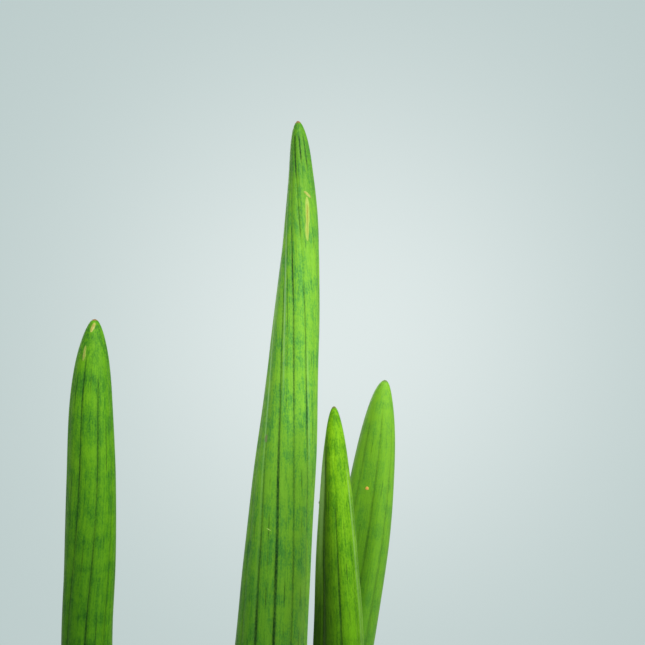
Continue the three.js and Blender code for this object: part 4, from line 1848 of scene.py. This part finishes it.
@dataclass(frozen=True)
class ClayPot:
    """A plain tapered pot with a collar, a foot ring and one drainage hole."""

    height: float = 130
    foot_radius: float = 52
    foot_ring: float = 9
    foot_recess: float = 2.5
    floor_top: float = 10
    drain_radius: float = 7
    inner_floor_radius: float = 46
    inner_rim_radius: float = 68
    collar_bottom: float = 104
    body_top_radius: float = 70
    collar_radius: float = 75
    segments: int = 240

    OUTLINE_STEP = 2.2
    BEND, BEND_LENGTH = 0.16, 60.0  # how far the clay wanders from round, and over what length
    EVEN_FOOT, EVEN_FLOOR = (2.0, 12.0), (12.0, 30.0)  # heights and radii over which it starts to

    def inner_radius(self, height: np.ndarray | float) -> np.ndarray | float:
        """The radius of the inside wall at a height."""
        rise = (height - self.floor_top) / (self.height - self.floor_top)
        return self.inner_floor_radius + rise * (self.inner_rim_radius - self.inner_floor_radius)

    def form(self) -> Form:
        """The pot as a closed form with the slight unevenness of thrown clay.

        Returns:
            The form.
        """
        top, foot = self.height, self.foot_radius
        outline = rounded(
            [
                (self.drain_radius, self.foot_recess, 0.8),
                (foot - self.foot_ring, self.foot_recess, 0.9),
                (foot - self.foot_ring + 1.5, 0, 0.5),
                (foot, 0, 2.2),
                (self.body_top_radius, self.collar_bottom, 1.2),
                (self.collar_radius - 1.2, self.collar_bottom + 0.9, 2.4),
                (self.collar_radius, top, 3.4),
                (self.inner_radius(top), top, 2.2),
                (self.inner_radius(self.floor_top), self.floor_top, 5.0),
                (self.drain_radius, self.floor_top, 0.8),
            ],
            self.OUTLINE_STEP,
        )
        angle = np.linspace(0, 2 * np.pi, self.segments, endpoint=False)
        radius, height = outline[:, :1], outline[:, 1:]
        free = smooth_share(height, *self.EVEN_FOOT) * smooth_share(radius, *self.EVEN_FLOOR)
        bend = Ripple(91, self.BEND_LENGTH)(radius * np.cos(angle), radius * np.sin(angle), height)
        bend = self.BEND * bend
        thrown = 0.05 * np.sin(height * 1.45 + 0.5 * np.sin(angle)) + 0.03 * np.sin(height * 3.7 + angle)
        off = (bend + thrown) * free
        uneven = radius + np.where(radius > self.collar_radius - 0.6, -np.abs(off), off)
        rings = np.stack([uneven * np.cos(angle), uneven * np.sin(angle), height + 0 * angle], -1)
        return Form(rings.reshape(-1, 3), grid_faces(len(outline), self.segments, True))

    def build(self) -> bpy.types.Object:
        """Makes the pot.

        Returns:
            The piece.
        """
        return mounted(self.form().piece("clay_pot", FiredClay().material("pot_clay")), "pot_clay", "pot")


@dataclass(frozen=True)
class Crock:
    """The arched shard of clay over the drainage hole."""

    inner_radius: float = 29
    thickness: float = 5
    half_angle: float = 32
    width: float = 34
    clearance: float = 0.3
    across: int = 60
    deep: int = 56

    CHIPS = (0.05, 0.06)  # how much is broken off its sides and its ends, in shares of its size

    def centre_height(self, pot: ClayPot) -> float:
        """The height of the middle of its arc."""
        return pot.floor_top + self.clearance - self.inner_radius * math.cos(math.radians(self.half_angle))

    def form(self, pot: ClayPot) -> Form:
        """The shard, with broken edges.

        Args:
            pot: The pot that it lies in.

        Returns:
            The closed form.
        """
        u = np.linspace(-1, 1, self.deep)
        side = np.linspace(-1, 1, self.across)
        ring = np.concatenate([side[::-1], side])
        outer = np.repeat([1.0, 0.0], self.across)
        rows, v = np.meshgrid(u, ring, indexing="ij")
        layer = np.broadcast_to(outer, v.shape)
        ragged = 1 - self.CHIPS[0] * np.abs(Ripple(95, 0.5)(rows, 0 * v)) * np.abs(v) ** 6
        angle = np.radians(90) + v * math.radians(self.half_angle) * ragged
        chipped = 1 - self.CHIPS[1] * np.abs(Ripple(96, 0.4)(v, 0 * rows)) * np.abs(rows) ** 8
        radius = self.inner_radius + layer * self.thickness + 0.25 * Ripple(97, 0.7)(rows, v) * (1 - layer)
        height = self.centre_height(pot) + radius * np.sin(angle)
        place = np.stack([radius * np.cos(angle), rows * chipped * self.width / 2, height], -1)
        return skinned(place[:, ::-1])

    def build(self, pot: ClayPot) -> bpy.types.Object:
        """Makes the shard.

        Args:
            pot: The pot that it lies in.

        Returns:
            The piece.
        """
        clay = FiredClay(bloom_share=0.25, light=paint(192, 120, 86)).material("crock_clay")
        return mounted(self.form(pot).piece("clay_shard", clay), "crock_clay", "drainage_crock")


class Bit(Enum):
    """The kinds of loose bit in the mix."""

    BARK = "bark_chips"
    PERLITE = "perlite"
    GRIT = "grit"


@dataclass(frozen=True)
class BitKind:
    """How many of a kind of bit lie on the mix, their size, and how angular they are."""

    count: int
    size: tuple[float, float]
    flat: tuple[float, float]
    cuts: int
    detail: int
    sunk: float
    finish: BitFinish


@dataclass(frozen=True)
class PottingMix:
    """The gritty mix that fills the pot, with loose bits and fibres on its surface."""

    edge_height: float = 113
    crown_height: float = 116
    crown_radius: float = 30
    wall_gap: float = 0.5
    rows: int = 90
    segments: int = 300
    seed: int = 101
    fibres: int = 70

    GRAIN_EDGES = (0.3, 0.7)
    CROWN_DROP = 0.6  # how far the crown falls by its own radius
    SLOPE_END = 64.5  # the radius at which the slope is down at the edge height
    HUMPS, LUMPS, CRUMBS = 0.55, 0.3, 0.75  # how high the unevenness stands, from broad to fine
    HOLLOW = 0.6  # the space left round the crock
    FLOOR_GAP = 0.4
    TURN = 4.5  # how far from the floor's corner the bed's sides start

    def level(self, x: np.ndarray, y: np.ndarray) -> np.ndarray:
        """The height of the mix's surface.

        Args:
            x: Places across.
            y: Places in depth.

        Returns:
            The height at each place.
        """
        reach = np.hypot(x, y)
        brow = self.crown_height - self.CROWN_DROP
        slope = (brow - self.edge_height) / (self.SLOPE_END - self.crown_radius)
        outer = brow - slope * (reach - self.crown_radius)
        crown = self.crown_height - self.CROWN_DROP * (reach / self.crown_radius) ** 2
        humps = self.HUMPS * Ripple(self.seed, 26.0, 7)(x, y)
        return np.minimum(crown, outer) + humps + self.LUMPS * Ripple(self.seed + 1, 8.0, 9)(x, y)

    def bed(self, pot: ClayPot, crock: Crock) -> Form:
        """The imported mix, with a hollow under and round the crock.

        Args:
            pot: The pot that it fills.
            crock: The shard over the drainage hole.

        Returns:
            The closed form.
        """
        angle = np.linspace(0, 2 * np.pi, self.segments, endpoint=False)

        def disc(radii: np.ndarray, height: Callable[[np.ndarray, np.ndarray], np.ndarray]) -> np.ndarray:
            """Rings of points at a height that varies."""
            x = radii[:, None] * np.cos(angle)
            y = radii[:, None] * np.sin(angle)
            return np.stack([x, y, height(x, y)], -1)

        def rough(x: np.ndarray, y: np.ndarray) -> np.ndarray:
            """The surface with its crumbs."""
            smooth = self.level(x, y)
            crumbs = np.array(
                [
                    noise.fractal(Vector((a * 0.42, b * 0.42, 3.1)), 0.8, 2.1, 4)
                    for a, b in zip(x.ravel(), y.ravel())
                ]
            )
            return smooth + self.CRUMBS * crumbs.reshape(x.shape)

        def under(x: np.ndarray, y: np.ndarray) -> np.ndarray:
            """The underside, arched over the crock."""
            outer = crock.inner_radius + crock.thickness + self.HOLLOW
            half = outer * math.sin(math.radians(crock.half_angle)) + self.HOLLOW
            arch = crock.centre_height(pot) + np.sqrt(np.maximum(outer**2 - x**2, 1.0))
            inside = (np.abs(x) < half) & (np.abs(y) < crock.width / 2 + self.HOLLOW)
            return np.where(inside, arch, pot.floor_top + self.FLOOR_GAP)

        low = disc(np.linspace(0.2, pot.inner_floor_radius - self.TURN, 60), under)
        heights = np.linspace(pot.floor_top + self.TURN, self.edge_height - 1.5, 40)
        walls = pot.inner_radius(heights) - self.wall_gap
        upright = heights[:, None] + 0 * angle
        side = np.stack([walls[:, None] * np.cos(angle), walls[:, None] * np.sin(angle), upright], -1)
        high = disc(np.linspace(walls[-1] - 0.1, 0.2, self.rows), rough)
        return skinned(np.concatenate([low, side, high]))

    def kinds(self) -> dict[Bit, BitKind]:
        """How each kind of bit lies on the mix."""
        fibrous, even = Patches(0.5, 7.0, *self.GRAIN_EDGES), Patches(0.5, 1.0, *self.GRAIN_EDGES)
        fine = Patches(0.4, 1.0, *self.GRAIN_EDGES)
        bark = BitFinish(paint(58, 38, 26), paint(134, 92, 58), fibrous, relief=0.2)
        perlite = BitFinish(paint(206, 200, 188), paint(244, 240, 232), even, (0.78, 0.9), 0.12)
        grit = BitFinish(paint(112, 104, 96), paint(186, 170, 150), fine, (0.63, 0.75), 0.06)
        return {
            Bit.BARK: BitKind(620, (1.6, 4.6), (0.55, 0.26), 7, 2, 0.1, bark),
            Bit.PERLITE: BitKind(230, (0.8, 2.1), (0.9, 0.8), 3, 2, 0.2, perlite),
            Bit.GRIT: BitKind(420, (0.6, 1.5), (0.85, 0.65), 6, 1, 0.15, grit),
        }

    def spots(self, count: int, clear: float, draw: random.Random, leaves: Iterable[SpearLeaf]) -> np.ndarray:
        """Random places on the surface, clear of the leaves.

        Args:
            count: How many.
            clear: How far from each leaf and from the wall.
            draw: The random draw to use.
            leaves: The leaves to keep clear of.

        Returns:
            The points.
        """
        found: list[np.ndarray] = []
        while len(found) < count:
            reach = 63.5 * math.sqrt(draw.random())
            angle = draw.uniform(0, 2 * math.pi)
            x, y = reach * math.cos(angle), reach * math.sin(angle)
            point = np.array([[x, y, float(self.level(np.array(x), np.array(y)))]])
            if reach + clear < 64.6 and not any(leaf.covers(point, clear * 0.6 + 0.6)[0] for leaf in leaves):
                found.append(point[0])
        return np.array(found)

    def bits(self, which: Bit, leaves: Iterable[SpearLeaf]) -> Form:
        """The loose bits of one kind.

        Args:
            which: The kind.
            leaves: The leaves to keep clear of.

        Returns:
            The form, with each bit's own "tone" and "bit_place".
        """
        kind = self.kinds()[which]
        draw = random.Random(self.seed + len(which.value))
        ball = bmesh.new()
        bmesh.ops.create_icosphere(ball, subdivisions=kind.detail, radius=1.0)
        sphere = np.array([vertex.co[:] for vertex in ball.verts])
        faces = [tuple(vertex.index for vertex in face.verts) for face in ball.faces]
        ball.free()
        forms: list[Form] = []
        for spot in self.spots(kind.count, kind.size[1] * 0.4, draw, leaves):
            size = draw.uniform(*kind.size) * draw.uniform(0.6, 1.0)
            shape = sphere * (1 + 0.16 * Ripple(draw.randrange(10**6), 1.6, 4)(*sphere.T))[:, None]
            for _ in range(kind.cuts):
                side = unit(np.array([draw.gauss(0, 1) for _ in range(3)]))
                beyond = np.maximum(shape @ side - draw.uniform(0.5, 0.85), 0)
                shape = shape - beyond[:, None] * side
            broad = draw.uniform(0.8, 1.1) * kind.flat[0]
            wide = np.array([1.0, broad, kind.flat[1] * draw.uniform(0.7, 1.4)])
            rest = shape * wide * size / 2
            tilt = Euler((draw.gauss(0, 0.35), draw.gauss(0, 0.35), draw.uniform(0, 2 * math.pi))).to_matrix()
            turned = rest @ np.array(tilt).T
            lift = -turned[:, 2].min() * (1 - 2 * kind.sunk) + 0.1
            place = rest + np.array([draw.uniform(0, 400) for _ in range(3)])
            values = {"tone": np.full(len(rest), draw.random()), "bit_place": place[:, [1, 2, 0]]}
            forms.append(Form(turned + spot + [0, 0, lift], faces, values))
        return Form.merged(forms)

    def fibre_form(self, leaves: Iterable[SpearLeaf]) -> Form:
        """Short fibres lying on the surface.

        Args:
            leaves: The leaves to keep clear of.

        Returns:
            The form.
        """
        draw = random.Random(self.seed + 77)
        forms: list[Form] = []
        for spot in self.spots(self.fibres, 5.0, draw, leaves):
            bearing, length, curl = draw.uniform(0, 2 * math.pi), draw.uniform(5, 13), draw.gauss(0, 0.8)
            points = []
            for step in np.linspace(-0.5, 0.5, 5):
                angle = bearing + curl * step
                x = spot[0] + length * step * math.cos(angle)
                y = spot[1] + length * step * math.sin(angle)
                rise = 0.7 + 0.5 * draw.random() + 0.8 * abs(step)
                points.append((x, y, float(self.level(np.array(x), np.array(y))) + rise))
            strand = tube(Spine(points), lambda share: 0.16 - 0.1 * np.abs(share - 0.5), 6, 22)
            tone = np.full(len(strand.points), draw.random())
            strand.values = {"tone": tone, "bit_place": strand.points.copy()}
            forms.append(strand)
        return Form.merged(forms)

    def build(self, pot: ClayPot, crock: Crock, leaves: Iterable[SpearLeaf]) -> list[bpy.types.Object]:
        """Makes the mix, its loose bits and its fibres.

        Args:
            pot: The pot that it fills.
            crock: The shard over the drainage hole.
            leaves: The leaves that stand in it.

        Returns:
            The pieces.
        """
        stems = list(leaves)
        bed = self.bed(pot, crock).piece("mix_bed", MixFinish().material("mix_crumb"))
        made = [mounted(bed, "potting_mix", "potting_mix")]
        for which, kind in self.kinds().items():
            piece = self.bits(which, stems).piece(which.value, kind.finish.material(which.value + "_finish"))
            made.append(mounted(piece, "potting_mix"))
        straw = BitFinish(paint(120, 84, 50), paint(178, 136, 88), Patches(0.4, 3.0, *self.GRAIN_EDGES))
        fibres = self.fibre_form(stems).piece("coir_fibres", straw.material("coir_finish"))
        made.append(mounted(fibres, "potting_mix"))
        return made


# ------------------------------------------------------------------------------ studio


@dataclass(frozen=True)
class SoftBox:
    """A square soft light."""

    name: str
    place: tuple[float, float, float]
    aim: tuple[float, float, float]
    size: float
    power: float
    colour: tuple[float, float, float]

    def build(self) -> bpy.types.Object:
        """Makes the light."""
        data = bpy.data.lights.new(self.name, "AREA")
        data.shape = "SQUARE"
        data.size = self.size
        data.energy = self.power
        data.color = self.colour
        made = bpy.data.objects.new(self.name, data)
        made.location = self.place
        made.rotation_mode = "QUATERNION"
        made.rotation_quaternion = (Vector(self.aim) - Vector(self.place)).to_track_quat("-Z", "Y")
        made.visible_camera = False
        bpy.context.scene.collection.objects.link(made)
        return made


@dataclass(frozen=True)
class Studio:
    """The camera, the lights, the pale surroundings and the floor."""

    eye: tuple[float, float, float] = (0.0352, -0.6271, 0.348)
    lens: float = 100.0
    sensor: float = 36.0
    glow: Colour = paint(223, 233, 232)
    wall: Colour = paint(187, 203, 202)
    glow_way: tuple[float, float, float] = (0.0098, 1.0, -0.0042)
    glow_spread: float = math.radians(8.8)
    ambient: tuple[float, float, float, float] = (0.97, 0.99, 1.0, 1.0)
    ambient_strength: float = 0.42
    floor_radius: float = 1.1

    FLOOR_RINGS, FLOOR_SEGMENTS = 40, 96
    FLOOR_DROP = 0.05  # millimetres below the pot's foot

    def camera(self) -> bpy.types.Object:
        """Makes the camera, level and looking straight back."""
        data = bpy.data.cameras.new("camera")
        data.lens = self.lens
        data.sensor_width = self.sensor
        data.clip_start, data.clip_end = 0.01, 50
        made = bpy.data.objects.new("camera", data)
        made.location = self.eye
        made.rotation_euler = (math.radians(90), 0, 0)
        bpy.context.scene.collection.objects.link(made)
        bpy.context.scene.camera = made
        return made

    def surroundings(self) -> None:
        """Makes the pale surroundings, with a soft glow behind the plant."""
        world = bpy.data.worlds.new("pale_room")
        world.use_nodes = True
        bpy.context.scene.world = world
        world.node_tree.nodes.clear()
        sheet = NodeSheet(world.node_tree)
        way = sheet.add("ShaderNodeTexCoord").outputs["Generated"]
        ahead = tuple(Vector(self.glow_way).normalized())
        product = sheet.add("ShaderNodeVectorMath", {0: way, 1: ahead}, operation="DOT_PRODUCT")
        along = product.outputs["Value"]
        off = sheet.maths("MULTIPLY", sheet.maths("SUBTRACT", along, 1.0), 2 / self.glow_spread**2)
        seen = sheet.blend(sheet.maths("EXPONENT", off), self.wall, self.glow)
        shown = sheet.add("ShaderNodeBackground", {"Color": seen, "Strength": 1.0}).outputs[0]
        ambient = {"Color": self.ambient, "Strength": self.ambient_strength}
        lighting = sheet.add("ShaderNodeBackground", ambient).outputs[0]
        direct = sheet.add("ShaderNodeLightPath").outputs["Is Camera Ray"]
        mix = sheet.add("ShaderNodeMixShader", {0: direct, 1: lighting, 2: shown})
        sheet.add("ShaderNodeOutputWorld", {"Surface": mix.outputs[0]})

    def lights(self) -> list[bpy.types.Object]:
        """Makes the soft lights: a key from the right, one from above the front and one from behind."""
        aim = (0.0, 0.0, 0.26)
        boxes = [
            SoftBox("key_light", (1.1, -0.72, 0.72), aim, 0.6, 9.2, (1.0, 0.98, 0.93)),
            SoftBox("front_light", (0.12, -0.5, 0.82), (0.0, 0.0, 0.36), 0.5, 4.9, (1.0, 0.99, 0.96)),
            SoftBox("back_light", (-0.55, 1.1, 0.9), aim, 0.8, 7.0, (0.97, 0.98, 1.0)),
        ]
        return [box.build() for box in boxes]

    def floor(self) -> bpy.types.Object:
        """Makes the floor, a disc that fades out."""
        rings = np.linspace(0.002, self.floor_radius, self.FLOOR_RINGS)[::-1, None] / MM
        angle = np.linspace(0, 2 * np.pi, self.FLOOR_SEGMENTS, endpoint=False)
        level = 0 * rings + 0 * angle - self.FLOOR_DROP
        points = np.stack([rings * np.cos(angle), rings * np.sin(angle), level], -1)
        form = Form(points.reshape(-1, 3), grid_faces(self.FLOOR_RINGS, self.FLOOR_SEGMENTS))
        made = form.piece("floor", PaleFloor().material("floor_paint"))
        return made

    def build(self) -> None:
        """Makes the whole studio, and shows colours as they are."""
        self.camera()
        self.surroundings()
        self.lights()
        self.floor()
        bpy.context.scene.view_settings.view_transform = "Standard"
        bpy.context.scene.view_settings.look = "None"


# ------------------------------------------------------------------------------ assembly


def report(pieces: Iterable[bpy.types.Object]) -> None:
    """Logs each piece and its number of faces."""
    for piece in pieces:
        LOG.info("%s: %d faces", piece.name, len(piece.data.polygons))


def write_sizes() -> None:
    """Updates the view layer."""
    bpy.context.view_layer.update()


def main() -> None:
    """Builds the plant, its pot and the studio, and logs each piece."""
    logging.basicConfig(level=logging.INFO, format="%(message)s")
    Studio().build()
    leaves = plant_leaves()
    for leaf in leaves.values():
        report(leaf.build())
    husk = DryScale()
    report(scale.build(husk) for scale in plant_scales(leaves))
    report(Rhizome().build(leaves))
    pot, crock = ClayPot(), Crock()
    report([pot.build(), crock.build(pot)])
    report(PottingMix().build(pot, crock, leaves.values()))
    write_sizes()


if __name__ == "__main__":
    main()
